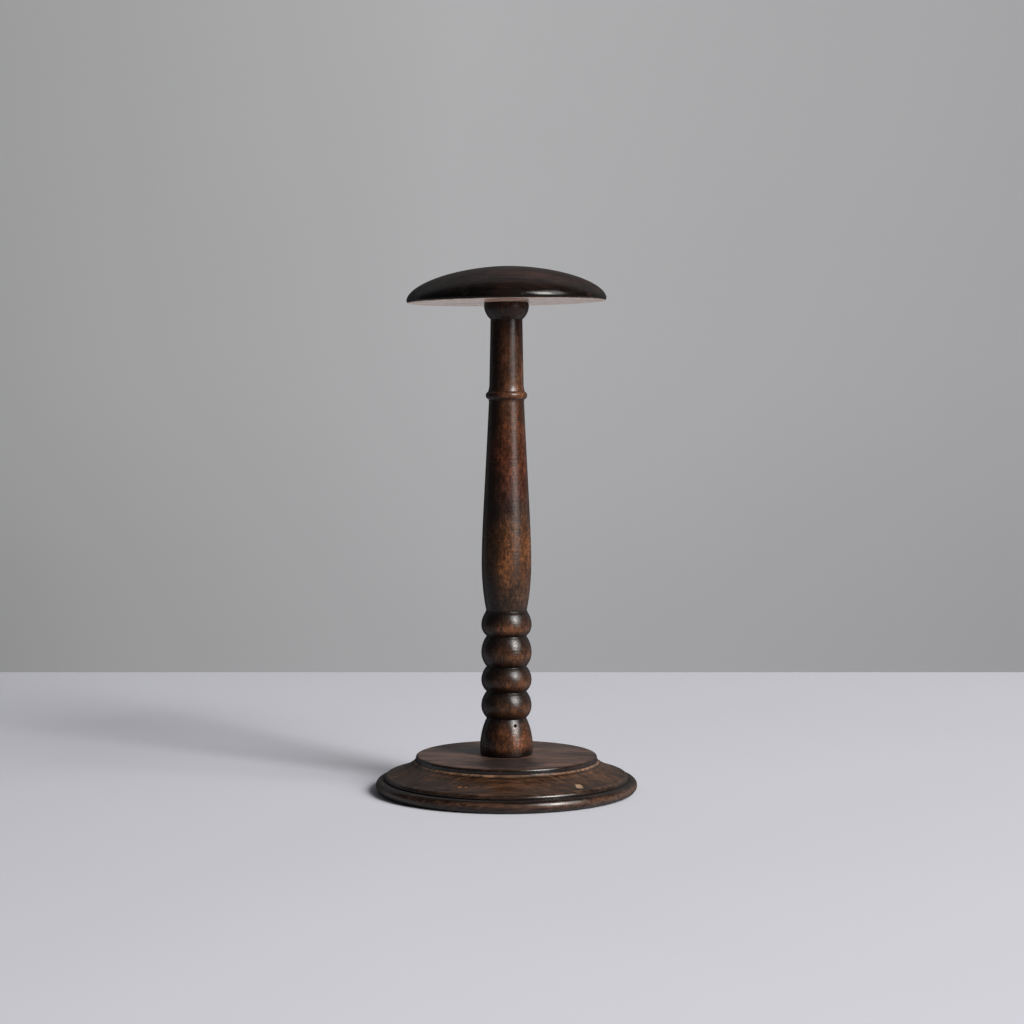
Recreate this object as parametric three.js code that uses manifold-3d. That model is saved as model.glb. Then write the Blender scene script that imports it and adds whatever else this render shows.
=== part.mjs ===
// A turned wooden hat stand that comes apart: a domed head, a baluster post and a moulded round base.
// A hanger bolt in the post screws into an insert nut in the head, and a bolt from beneath the base
// screws into an insert nut in the foot of the post. Millimetres, +Z up, standing on z = 0.

import * as THREE from "three";
import { mergeVertices } from "three/addons/utils/BufferGeometryUtils.js";
import Module from "manifold-3d";

const wasm = await Module();
wasm.setup();

// Driving dimensions of the three turned pieces.

// The round base, from its underside up.
const baseRadius = 82.5;
const baseThickness = 22;
const toeRound = 3.7;
const toeFlat = 0.5;
const lipSetback = 1.9;
const quirkDepth = 0.7;
const lipFace = 1.65;
const lipRun = 3;
const lipRise = 2;
const bandHeight = 3.5;
const ledge = 0.8;
const tableRadius = 57.2;
const tableEdgeRound = 1.5;

// The post, from its foot up. Heights are measured along the axis.
const footHeight = 23.4;
const footRadius = 16.65;
const footCrownHeight = 5;
const footEdgeRound = 0.7;
const grooveRadius = 12.45;
const beadRadius = 15.85;
const beadHeights = [16.7, 15.8, 19.3, 14.7];
const beadCrownShare = 0.46;
const topBeadShoulder = 13.4;
const filletHeight = 1.2;
const filletRadius = 13.3;
const balusterHeight = 131.8;
const waistRadius = 12.7;
const waistSpread = 1.54;
const waistReach = 7;
const bellyRadius = 15.62;
const bellyHeight = 30;
const bellyReachDown = 12.2;
const bellyReachUp = 20;
const shoulderRadius = 11;
const shoulderSpread = 2.63;
const shoulderReach = 56;
const seatFilletHeight = 0.9;
const ringHeight = 5;
const ringRadius = 13;
const ringUndercut = 0.3;
const neckHeight = 45;
const neckFootRadius = 11.5;
const neckCoveHeight = 3.8;
const neckLowerRadius = 10.75;
const neckUpperRadius = 9.98;
const collarHeight = 10.5;
const collarRadius = 14.05;
const collarTopRadius = 13.75;
const collarCrownDrop = 1.9;
const collarRise = 1.05;

// The domed head.
const headRadius = 62.5;
const headThickness = 22.5;
const rimRound = 1.8;
const domeFullness = 1.8;

// The joints inside: a spigot at each end of the post, and the metal that draws the pieces together.
const footSpigotRadius = 11;
const footSpigotLength = 5;
const topSpigotRadius = 8;
const topSpigotLength = 5;
const threadRadius = 4;
const insertRadius = 6;
const footInsertLength = 20;
const headInsertLength = 10;
const insertHexAcross = 8.6;
const insertHexDepth = 3;
const studLength = 47;
const studInHead = 9;
const studTipLength = 6;
const boltLength = 35;
const boltHeadRadius = 9;
const boltHeadThickness = 3.5;
const boltHexAcross = 5;
const boltHexDepth = 2.2;
const washerRadius = 11;
const washerThickness = 1.6;
const counterboreDepth = 6.5;
const threadChamfer = 0.8;

// Felt pads let into the underside.
const padRadius = 9;
const padProud = 1;
const padSink = 1;
const padInset = 7.65;
const padCount = 4;
const padEdge = 0.4;

// Clearances: between faces that meet, round what stands in a bore, past the end of a bore.
const seatGap = 0.1;
const slip = 0.2;
const endGap = 0.3;
const boltClearance = 0.5;
const boreRelief = 2;

// Facets round each kind of piece.
const broadFacets = 48;
const postFacets = 36;
const smallFacets = 20;

// Radii worked out from those sizes. The toe is a full round, cut off flat beneath, and the lip's face
// stands a little inside the middle of that round.
const toeCentre = baseRadius - toeRound;
const toeFoot = toeCentre + Math.sqrt(toeRound ** 2 - (toeRound - toeFlat) ** 2);
const lipRadius = toeCentre - lipSetback;
const padCircleRadius = toeFoot - padInset - padRadius;

// Levels worked out from those sizes.
const underside = padProud;
const table = underside + baseThickness;
const postFoot = table + seatGap;
const footSpigotEnd = postFoot - footSpigotLength;
const beadsFoot = postFoot + footHeight;
const beadsTop = beadHeights.reduce((height, bead) => height + bead, beadsFoot);
const balusterFoot = beadsTop + filletHeight;
const balusterTop = balusterFoot + balusterHeight;
const ringFoot = balusterTop + seatFilletHeight;
const neckFoot = ringFoot + ringHeight;
const collarFoot = neckFoot + neckHeight;
const postTop = collarFoot + collarHeight;
const topSpigotEnd = postTop + topSpigotLength;
const headUnderside = postTop + seatGap;
const headSocketTop = headUnderside + topSpigotLength + endGap;
const headInsertTop = headSocketTop + headInsertLength;
const apex = headUnderside + headThickness;
const counterboreTop = underside + counterboreDepth;
const washerTop = counterboreTop - seatGap;
const boltSeat = washerTop - washerThickness - seatGap;
const boltTip = boltSeat + boltLength;
const footInsertTop = footSpigotEnd + footInsertLength;
const studTop = headSocketTop + studInHead;
const headBoreTop = Math.max(headInsertTop, studTop) + endGap;
const studFoot = studTop - studLength;
const studShankFoot = studFoot + studTipLength;

// An outline in the half plane beside the axis: x is the distance from the axis, y the height.
class Outline {
  constructor(radius, height) {
    this.points = [new THREE.Vector2(radius, height)];
  }

  // Straight on to a point.
  line(radius, height) {
    this.points.push(new THREE.Vector2(radius, height));
    return this;
  }

  // A circular arc to a point. rise is how far its middle stands off the chord, outwards when the
  // outline is climbing and the rise is positive.
  arc(radius, height, rise, steps) {
    const from = this.points.at(-1);
    const to = new THREE.Vector2(radius, height);
    const chord = to.clone().sub(from);
    const half = chord.length() / 2;
    const swing = 2 * Math.atan(rise / half);
    const outward = new THREE.Vector2(chord.y, -chord.x).normalize();
    const bend = half / Math.sin(swing);
    const centre = from.clone().add(to).multiplyScalar(0.5);
    centre.addScaledVector(outward, -bend * Math.cos(swing));
    const start = from.clone().sub(centre);
    for (let step = 1; step < steps; step += 1) {
      const turned = start.clone().rotateAround(new THREE.Vector2(), (2 * swing * step) / steps);
      this.points.push(turned.add(centre));
    }
    return this.line(radius, height);
  }

  // Out to a crown, where the outline stands upright, and in again, by two arcs that join smoothly.
  swell(crownRadius, crownHeight, radius, height, steps) {
    for (const [toRadius, toHeight] of [[crownRadius, crownHeight], [radius, height]]) {
      const from = this.points.at(-1);
      const depth = Math.abs(toRadius - from.x);
      const chord = Math.hypot(depth, toHeight - from.y);
      const bend = chord ** 2 / (2 * depth);
      this.arc(toRadius, toHeight, bend * (1 - (toHeight - from.y) / chord), steps);
    }
    return this;
  }

  // A cubic curve to a point, drawn out by a handle at each end.
  curve(firstRadius, firstHeight, lastRadius, lastHeight, radius, height, steps) {
    const from = this.points.at(-1).clone();
    const first = new THREE.Vector2(firstRadius, firstHeight);
    const last = new THREE.Vector2(lastRadius, lastHeight);
    const to = new THREE.Vector2(radius, height);
    const bent = new THREE.CubicBezierCurve(from, first, last, to).getPoints(steps);
    this.points.push(...bent.slice(1));
    return this;
  }
}

// The solid that an outline sweeps round the axis, as a geometry with +Z up.
function turned(outline, facets) {
  return new THREE.LatheGeometry(outline.points, facets).rotateX(Math.PI / 2);
}

// A closed geometry as a solid that can be cut.
function solidOf(geometry) {
  const bare = geometry.clone();
  bare.deleteAttribute("normal");
  bare.deleteAttribute("uv");
  const merged = mergeVertices(bare, 1e-4);
  const mesh = new wasm.Mesh({
    numProp: 3,
    vertProperties: merged.attributes.position.array,
    triVerts: new Uint32Array(merged.index.array),
  });
  return new wasm.Manifold(mesh);
}

// One geometry with others cut out of it.
function cut(geometry, tools) {
  const solid = tools.reduce((left, tool) => left.subtract(solidOf(tool)), solidOf(geometry));
  const mesh = solid.getMesh();
  const result = new THREE.BufferGeometry();
  result.setAttribute("position", new THREE.BufferAttribute(mesh.vertProperties, 3));
  result.setIndex(new THREE.BufferAttribute(mesh.triVerts, 1));
  result.computeVertexNormals();
  return result;
}

// A six-sided prism along the axis, for a drive socket, given by its width across the flats.
function hexPrism(across, bottom, top) {
  const corner = across / Math.sqrt(3);
  const shape = new THREE.Shape();
  for (let side = 0; side < 6; side += 1) {
    const angle = (side * Math.PI) / 3;
    const point = [corner * Math.cos(angle), corner * Math.sin(angle)];
    if (side === 0) shape.moveTo(...point);
    else shape.lineTo(...point);
  }
  const prism = new THREE.ExtrudeGeometry(shape, { depth: top - bottom, bevelEnabled: false });
  return prism.translate(0, 0, bottom);
}

// The moulded base: toe, quirk, lip, cove, ledge and the flat round table that the post stands on.
function baseGeometry() {
  const bolt = threadRadius + boltClearance;
  const bore = washerRadius + 2 * boltClearance;
  const socket = footSpigotRadius + slip;
  const socketFloor = footSpigotEnd - endGap;
  const toeCrown = underside + toeRound - toeFlat;
  const toeTop = toeCrown + Math.sqrt(toeRound ** 2 - lipSetback ** 2);
  const lipBottom = toeTop + lipFace;
  const lipInner = lipRadius - lipRun;
  const lipTop = lipBottom + lipRise;
  const coveTop = table - bandHeight;
  const coveTopRadius = tableRadius + ledge;
  const coveRun = lipInner - coveTopRadius;
  const coveDrop = coveTop - lipTop;
  const outline = new Outline(bolt, counterboreTop)
    .line(bore, counterboreTop)
    .line(bore, underside)
    .line(toeFoot, underside)
    .swell(baseRadius, toeCrown, lipRadius, toeTop, 5)
    .line(lipRadius - quirkDepth, toeTop + quirkDepth / 2)
    .line(lipRadius, toeTop + quirkDepth)
    .line(lipRadius, lipBottom)
    .arc(lipInner, lipTop, 0.2 * lipRun, 5)
    .curve(
      lipInner - 0.22 * coveRun, lipTop + 0.06 * coveDrop,
      coveTopRadius + 0.07 * coveRun, coveTop - 0.3 * coveDrop,
      coveTopRadius, coveTop, 9,
    )
    .line(tableRadius, coveTop)
    .line(tableRadius, table - tableEdgeRound)
    .arc(tableRadius - tableEdgeRound, table, 0.29 * tableEdgeRound, 3)
    .line(socket, table)
    .line(socket, socketFloor)
    .line(bolt, socketFloor)
    .line(bolt, counterboreTop);
  return turned(outline, broadFacets);
}

// The centre of each felt pad, spaced evenly round the underside.
function padCentres() {
  return Array.from({ length: padCount }, (_, index) => {
    const angle = (2 * Math.PI * (index + 0.5)) / padCount;
    return [padCircleRadius * Math.cos(angle), padCircleRadius * Math.sin(angle)];
  });
}

// The base with a shallow round recess for each pad.
function baseWithRecesses() {
  const radius = padRadius + slip;
  const ceiling = underside + padSink;
  const floor = underside - padProud;
  const plug = new Outline(0, floor).line(radius, floor).line(radius, ceiling).line(0, ceiling);
  const tools = padCentres().map(([x, y]) => turned(plug, smallFacets).translate(x, y, 0));
  return cut(baseGeometry(), tools);
}

// A round felt pad with a softened lower edge.
function padGeometry() {
  const top = underside + padSink - seatGap;
  const outline = new Outline(0, 0)
    .line(padRadius - padEdge, 0)
    .line(padRadius, padEdge)
    .line(padRadius, top)
    .line(0, top);
  return turned(outline, smallFacets);
}

// The turned post. Its outline climbs from the bore in the foot, up the outside, to the bore on top.
function postGeometry() {
  const insertBore = insertRadius + slip;
  const insertBoreTop = footInsertTop + endGap;
  const boltBore = threadRadius + slip;
  const boltBoreTop = Math.max(boltTip, insertBoreTop) + boreRelief;
  const outline = new Outline(0, boltBoreTop + threadRadius / 2)
    .line(boltBore, boltBoreTop)
    .line(boltBore, insertBoreTop)
    .line(insertBore, insertBoreTop)
    .line(insertBore, footSpigotEnd)
    .line(footSpigotRadius, footSpigotEnd)
    .line(footSpigotRadius, postFoot);

  // The bell-shaped foot is one sweep from its lower edge, out to its crown and in to the first groove.
  const sweepHeight = footHeight - footCrownHeight;
  const sweepDepth = footRadius - grooveRadius;
  const sweepBend = (sweepHeight ** 2 + sweepDepth ** 2) / (2 * sweepDepth);
  const edgeTop = footCrownHeight - footEdgeRound;
  const edgeRadius = footRadius - sweepBend + Math.sqrt(sweepBend ** 2 - edgeTop ** 2);
  outline
    .line(edgeRadius - footEdgeRound, postFoot)
    .line(edgeRadius, postFoot + footEdgeRound)
    .swell(footRadius, postFoot + footCrownHeight, grooveRadius, beadsFoot, 6);

  // Four round beads, each a little different in height, with a sharp groove between them.
  let groove = beadsFoot;
  beadHeights.forEach((height, index) => {
    const last = index === beadHeights.length - 1;
    const end = last ? topBeadShoulder : grooveRadius;
    outline.swell(beadRadius, groove + beadCrownShare * height, end, groove + height, 4);
    groove += height;
  });

  // A thin fillet, then the baluster: out from its waist to the belly and in a long taper to the top.
  const belly = balusterFoot + bellyHeight;
  outline
    .line(waistRadius, beadsTop)
    .line(filletRadius, beadsTop + filletHeight / 3)
    .line(filletRadius, balusterFoot - filletHeight / 4)
    .line(waistRadius, balusterFoot)
    .curve(
      waistRadius + waistSpread, balusterFoot + waistReach,
      bellyRadius, belly - bellyReachDown,
      bellyRadius, belly, 7,
    )
    .curve(
      bellyRadius, belly + bellyReachUp,
      shoulderRadius + shoulderSpread, balusterTop - shoulderReach,
      shoulderRadius, balusterTop, 9,
    );

  // The ring below the neck, the neck with its small cove, and the cup-shaped collar under the head.
  const ringSeat = neckFootRadius - ringUndercut;
  const collarCrown = postTop - collarCrownDrop;
  outline
    .line(ringSeat, balusterTop)
    .line(ringSeat, ringFoot)
    .arc(ringSeat, neckFoot, ringRadius - ringSeat, 7)
    .line(neckFootRadius, neckFoot)
    .arc(neckLowerRadius, neckFoot + neckCoveHeight, -0.12, 3)
    .line(neckUpperRadius, collarFoot)
    .arc(collarRadius, collarCrown, collarRise, 6)
    .line(collarTopRadius, postTop);

  const studBore = threadRadius + slip;
  outline
    .line(topSpigotRadius, postTop)
    .line(topSpigotRadius, topSpigotEnd)
    .line(studBore, topSpigotEnd)
    .line(studBore, studShankFoot)
    .line(0, studFoot - endGap);
  return turned(outline, postFacets);
}

// The domed head. The dome is fuller than a cone and flatter than a ball: a curve whose height and
// radius, each raised to the fullness, add up to one.
function headGeometry() {
  const socket = topSpigotRadius + slip;
  const insertBore = insertRadius + slip;
  const widest = headUnderside + rimRound;
  const outline = new Outline(0, headBoreTop)
    .line(insertBore, headBoreTop)
    .line(insertBore, headSocketTop)
    .line(socket, headSocketTop)
    .line(socket, headUnderside)
    .line(headRadius - rimRound, headUnderside)
    .arc(headRadius, widest, 0.29 * rimRound, 4);
  const steps = 14;
  for (let step = 1; step < steps; step += 1) {
    const angle = (step / steps) * (Math.PI / 2);
    const radius = headRadius * Math.cos(angle) ** (2 / domeFullness);
    const height = (apex - widest) * Math.sin(angle) ** (2 / domeFullness);
    outline.line(radius, widest + height);
  }
  outline.line(0, apex);
  return turned(outline, broadFacets);
}

// An insert nut whose mouth, with its drive socket, is at the bottom.
function insertNutGeometry(mouth, length) {
  const bore = threadRadius + slip / 2;
  const top = mouth + length;
  const outline = new Outline(bore, mouth)
    .line(insertRadius - threadChamfer, mouth)
    .line(insertRadius, mouth + threadChamfer)
    .line(insertRadius, top - threadChamfer)
    .line(insertRadius - threadChamfer, top)
    .line(bore, top)
    .line(bore, mouth);
  const socket = hexPrism(insertHexAcross, mouth - endGap, mouth + insertHexDepth);
  return cut(turned(outline, smallFacets), [socket]);
}

// The hanger bolt: a machine thread above, for the nut in the head, and a pointed wood screw below.
function hangerBoltGeometry() {
  const outline = new Outline(0, studFoot)
    .line(threadRadius, studShankFoot)
    .line(threadRadius, studTop - threadChamfer)
    .line(threadRadius - threadChamfer, studTop)
    .line(0, studTop);
  return turned(outline, smallFacets);
}

// The bolt under the base: a wide flat head with a hexagon socket, and a shank that points up.
function baseBoltGeometry() {
  const headBottom = boltSeat - boltHeadThickness;
  const edge = threadChamfer;
  const outline = new Outline(0, headBottom)
    .line(boltHeadRadius - edge, headBottom)
    .line(boltHeadRadius, headBottom + edge)
    .line(boltHeadRadius, boltSeat)
    .line(threadRadius, boltSeat)
    .line(threadRadius, boltTip - threadChamfer)
    .line(threadRadius - threadChamfer, boltTip)
    .line(0, boltTip);
  const socket = hexPrism(boltHexAcross, headBottom - endGap, headBottom + boltHexDepth);
  return cut(turned(outline, smallFacets), [socket]);
}

// The washer that spreads the pull of the bolt over the wood.
function washerGeometry() {
  const hole = threadRadius + slip;
  const bottom = washerTop - washerThickness;
  const outline = new Outline(hole, bottom)
    .line(washerRadius, bottom)
    .line(washerRadius, washerTop)
    .line(hole, washerTop)
    .line(hole, bottom);
  return turned(outline, smallFacets);
}

// Finishes, as the photograph shows them or as such fittings look.
const walnutStain = new THREE.MeshStandardMaterial({ color: "#3a2419", roughness: 0.38, metalness: 0 });
const darkStain = new THREE.MeshStandardMaterial({ color: "#241811", roughness: 0.35, metalness: 0 });
const wornStain = new THREE.MeshStandardMaterial({ color: "#45301f", roughness: 0.42, metalness: 0 });
const zincSteel = new THREE.MeshStandardMaterial({ color: "#b9bcc0", roughness: 0.35, metalness: 1 });
const brownFelt = new THREE.MeshStandardMaterial({ color: "#2b221d", roughness: 0.95, metalness: 0 });

// A named mesh of a geometry.
function piece(name, geometry, material) {
  const mesh = new THREE.Mesh(geometry, material);
  mesh.name = name;
  return mesh;
}

const head = new THREE.Group();
head.add(piece("head", headGeometry(), darkStain));
head.add(piece("head_insert_nut", insertNutGeometry(headSocketTop, headInsertLength), zincSteel));

const column = new THREE.Group();
column.add(piece("post", postGeometry(), walnutStain));
column.add(piece("hanger_bolt", hangerBoltGeometry(), zincSteel));
column.add(piece("foot_insert_nut", insertNutGeometry(footSpigotEnd, footInsertLength), zincSteel));

const foot = new THREE.Group();
foot.add(piece("base", baseWithRecesses(), wornStain));
foot.add(piece("base_washer", washerGeometry(), zincSteel));
foot.add(piece("base_bolt", baseBoltGeometry(), zincSteel));
padCentres().forEach(([x, y], index) => {
  const pad = piece(`felt_pad_${index + 1}`, padGeometry(), brownFelt);
  pad.position.set(x, y, 0);
  foot.add(pad);
});

const hatStand = new THREE.Group();
hatStand.add(foot, column, head);

export default hatStand;
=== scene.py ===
"""A turned wooden hat stand on a pale table, in plain soft studio light.

The head, the post and the base are swept round the axis from their outlines, so that the mouldings are
true curves, and then stained, glazed in the hollows and rubbed on the crowns. The fittings beneath keep
their solids and get their finishes. Sizes are in millimetres until a mesh is made, and Blender's
objects are in metres.
"""

import logging
import math
from dataclasses import dataclass, field
from enum import Enum

import bmesh
import bpy
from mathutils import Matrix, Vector


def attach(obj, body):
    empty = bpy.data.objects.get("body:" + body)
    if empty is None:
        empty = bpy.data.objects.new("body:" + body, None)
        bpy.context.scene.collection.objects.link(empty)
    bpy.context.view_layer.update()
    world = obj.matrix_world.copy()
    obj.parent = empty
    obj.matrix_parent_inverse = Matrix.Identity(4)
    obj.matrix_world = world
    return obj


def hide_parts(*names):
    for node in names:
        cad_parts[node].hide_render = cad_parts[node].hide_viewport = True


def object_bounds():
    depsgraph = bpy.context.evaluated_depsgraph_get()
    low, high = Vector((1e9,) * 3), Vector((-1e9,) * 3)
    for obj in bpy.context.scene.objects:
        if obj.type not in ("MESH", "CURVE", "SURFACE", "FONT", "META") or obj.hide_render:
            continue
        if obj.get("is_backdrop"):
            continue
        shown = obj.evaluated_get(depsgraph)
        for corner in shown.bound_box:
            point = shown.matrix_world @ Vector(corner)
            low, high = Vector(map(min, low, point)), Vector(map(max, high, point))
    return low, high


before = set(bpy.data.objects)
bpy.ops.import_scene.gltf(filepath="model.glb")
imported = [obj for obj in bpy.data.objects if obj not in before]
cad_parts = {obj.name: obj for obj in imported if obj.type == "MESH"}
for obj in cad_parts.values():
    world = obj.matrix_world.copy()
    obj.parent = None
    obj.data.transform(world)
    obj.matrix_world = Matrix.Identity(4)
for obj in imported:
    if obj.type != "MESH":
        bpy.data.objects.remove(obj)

log = logging.getLogger("hat_stand")

Colour = tuple[float, float, float]
Socket = bpy.types.NodeSocket

# A millimetre in metres
MM = 0.001

# Gaps in metres below which points are one point
SEAM_GAP = 0.002 * MM
DOUBLE_GAP = 0.001 * MM

# How far the middle of a quarter round stands off its chord, as a share of its radius
QUARTER_RISE = 0.29

# The beads on the post from the lowest up, and where the lowest starts, in millimetres
BEAD_HEIGHTS = (16.7, 15.8, 19.3, 14.7)
BEADS_FROM = 46.5


def tint(red: float, green: float, blue: float) -> tuple[float, float, float, float]:
    """A display colour, each part from 0 to 255, as the linear colour that a shader takes.

    Args:
        red, green, blue: The colour as a picture shows it.

    Returns:
        Linear red, green and blue, and a full alpha.
    """

    def linear(part: float) -> float:
        """One part of the colour, made linear."""
        share = part / 255.0
        return share / 12.92 if share <= 0.04045 else ((share + 0.055) / 1.055) ** 2.4

    return (linear(red), linear(green), linear(blue), 1.0)


class Wiring:
    """Adds nodes to one tree and joins their sockets."""

    def __init__(self, tree: bpy.types.NodeTree) -> None:
        """Keeps the tree that the nodes go into."""
        self.tree = tree

    def feed(self, socket: Socket, value: object) -> None:
        """Sets a socket to a value, or joins another node's socket to it.

        Args:
            socket: The input.
            value: A plain value, or the output that is joined to it.
        """
        if isinstance(value, bpy.types.NodeSocket):
            self.tree.links.new(value, socket)
        else:
            socket.default_value = value

    def node(self, kind: str, inputs: dict | None = None, **settings: object) -> bpy.types.Node:
        """Adds a node.

        Args:
            kind: Blender's name for the kind of node.
            inputs: Sockets by name or number, each with a value or another node's socket.
            **settings: The node's own properties.

        Returns:
            The new node.
        """
        made = self.tree.nodes.new(kind)
        for name, value in settings.items():
            setattr(made, name, value)
        for name, value in (inputs or {}).items():
            self.feed(made.inputs[name], value)
        return made

    def math(self, operation: str, first: object, second: object = None, third: object = None,
             clamp: bool = False) -> Socket:
        """One sum on numbers, such as ADD or POWER."""
        parts = {place: value for place, value in enumerate((first, second, third)) if value is not None}
        return self.node("ShaderNodeMath", parts, operation=operation, use_clamp=clamp).outputs[0]

    def vector(self, operation: str, first: object, second: object = None) -> Socket:
        """One sum on vectors, such as ADD or DIVIDE.

        Args:
            operation: The kind of sum.
            first, second: What goes into it.

        Returns:
            The sum, a number for a length or a dot product.
        """
        parts = {place: value for place, value in enumerate((first, second)) if value is not None}
        made = self.node("ShaderNodeVectorMath", parts, operation=operation)
        return made.outputs["Value" if operation in ("LENGTH", "DOT_PRODUCT") else "Vector"]

    def blend(self, share: object, below: object, above: object) -> Socket:
        """One colour over another.

        Args:
            share: How much of the upper colour shows, from 0 to 1.
            below: The lower colour.
            above: The upper colour.

        Returns:
            The mixed colour.
        """
        return self.node("ShaderNodeMix", {0: share, 6: below, 7: above}, data_type="RGBA").outputs[2]

    def fade(self, value: object, low: object, high: object, to_low: object = 0.0,
             to_high: object = 1.0) -> Socket:
        """A number eased from one range into another, and held inside it."""
        inputs = {0: value, 1: low, 2: high, 3: to_low, 4: to_high}
        return self.node("ShaderNodeMapRange", inputs, interpolation_type="SMOOTHSTEP").outputs[0]

    def spread(self, value: object, low: float, high: float) -> Socket:
        """A number from low to high, made a share from 0 to 1."""
        return self.node("ShaderNodeMapRange", {0: value, 1: low, 2: high}).outputs[0]

    def swing(self, share: Socket, reach: float) -> Socket:
        """A share from 0 to 1, made a factor that swings about 1, by half the reach each way."""
        return self.math("MULTIPLY_ADD", share, reach, 1.0 - reach / 2)

    def scaled(self, colour: object, share: object) -> Socket:
        """A colour or a vector, times a number.

        Args:
            colour: The colour or vector, plain or from another node.
            share: The number.

        Returns:
            The product.
        """
        plain = colour[:3] if isinstance(colour, tuple) else colour
        made = self.node("ShaderNodeVectorMath", {0: plain}, operation="SCALE")
        self.feed(made.inputs["Scale"], share)
        return made.outputs["Vector"]

    def show(self, shader: Socket, kind: str = "ShaderNodeOutputMaterial") -> None:
        """Sends a shader to the tree's output."""
        self.feed(self.node(kind).inputs["Surface"], shader)

    def noise(self, vector: object, scale: object, detail: float = 3.0, roughness: float = 0.55,
              distortion: float = 0.0) -> Socket:
        """Soft cloudy noise from 0 to 1.

        Args:
            vector: The point.
            scale: How many clouds there are to a metre, or to a unit of the point.
            detail: How many times finer clouds are laid over them.
            roughness: How strong the finer clouds are.
            distortion: How far the clouds are pulled about.

        Returns:
            The noise at the point.
        """
        inputs = {"Vector": vector, "Scale": scale, "Detail": detail, "Roughness": roughness,
                  "Distortion": distortion}
        return self.node("ShaderNodeTexNoise", inputs).outputs["Fac"]

    def ramp(self, value: Socket, stops: list[tuple[float, tuple]]) -> bpy.types.Node:
        """A colour that follows a number.

        Args:
            value: The number, from 0 to 1.
            stops: Each place on the way from 0 to 1 with its colour and alpha, in order.

        Returns:
            The ramp, which puts out the colour and the alpha at that number.
        """
        made = self.node("ShaderNodeValToRGB", {0: value})
        elements = made.color_ramp.elements
        while len(elements) < len(stops):
            elements.new(0.5)
        for element, (place, colour) in zip(elements, stops):
            element.position = place
            element.color = colour
        return made


@dataclass
class SocketPlan:
    """The sockets of a node group: each name with its kind and, for an input, its first value."""

    inputs: list[tuple[str, str, object]]
    outputs: list[tuple[str, str]]

    def lay(self, tree: bpy.types.NodeTree) -> None:
        """Makes the sockets on a tree.

        Args:
            tree: The group's tree.
        """
        for name, kind, first in self.inputs:
            socket = tree.interface.new_socket(name, in_out="INPUT", socket_type=kind)
            if first is not None:
                socket.default_value = first
        for name, kind in self.outputs:
            tree.interface.new_socket(name, in_out="OUTPUT", socket_type=kind)


def group_tree(name: str, kind: str, plan: SocketPlan) -> tuple[Wiring, bpy.types.Node, bpy.types.Node]:
    """Starts a node group.

    Args:
        name: The group's name.
        kind: Blender's name for the kind of tree.
        plan: Its sockets.

    Returns:
        The wiring of the tree, its input node and its output node.
    """
    tree = bpy.data.node_groups.new(name, kind)
    plan.lay(tree)
    wiring = Wiring(tree)
    return wiring, wiring.node("NodeGroupInput"), wiring.node("NodeGroupOutput")


def started(name: str) -> tuple[bpy.types.Material, Wiring, Socket]:
    """Starts a material.

    Args:
        name: The material's name.

    Returns:
        The material, the wiring of its empty tree, and the point on the piece, in the piece's own space.
    """
    made = bpy.data.materials.new(name)
    made.use_nodes = True
    made.node_tree.nodes.clear()
    wiring = Wiring(made.node_tree)
    return made, wiring, wiring.node("ShaderNodeTexCoord").outputs["Object"]


def in_scene(name: str, data: bpy.types.ID) -> bpy.types.Object:
    """Puts a new object into the scene.

    Args:
        name: The object's name.
        data: The mesh, lamp or camera that it shows.

    Returns:
        The object.
    """
    item = bpy.data.objects.new(name, data)
    bpy.context.scene.collection.objects.link(item)
    return item


@dataclass(frozen=True)
class Cloud:
    """Soft noise, eased from its floor where it is below one level to its ceiling above another."""

    scale: float
    low: float
    high: float
    detail: float = 3.0
    roughness: float = 0.55
    distortion: float = 0.0
    stretch: tuple[float, float, float] | None = None
    floor: float = 0.0
    ceiling: float = 1.0

    def lay(self, wiring: Wiring, place: Socket, scale: Socket | None = None) -> Socket:
        """Adds the noise to a tree.

        Args:
            wiring: The tree's wiring.
            place: The point.
            scale: A scale from another node, in place of the cloud's own.

        Returns:
            The eased noise at the point.
        """
        if self.stretch is not None:
            place = wiring.vector("MULTIPLY", place, self.stretch)
        size = self.scale if scale is None else scale
        soft = wiring.noise(place, size, self.detail, self.roughness, self.distortion)
        return wiring.fade(soft, self.low, self.high, self.floor, self.ceiling)


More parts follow.
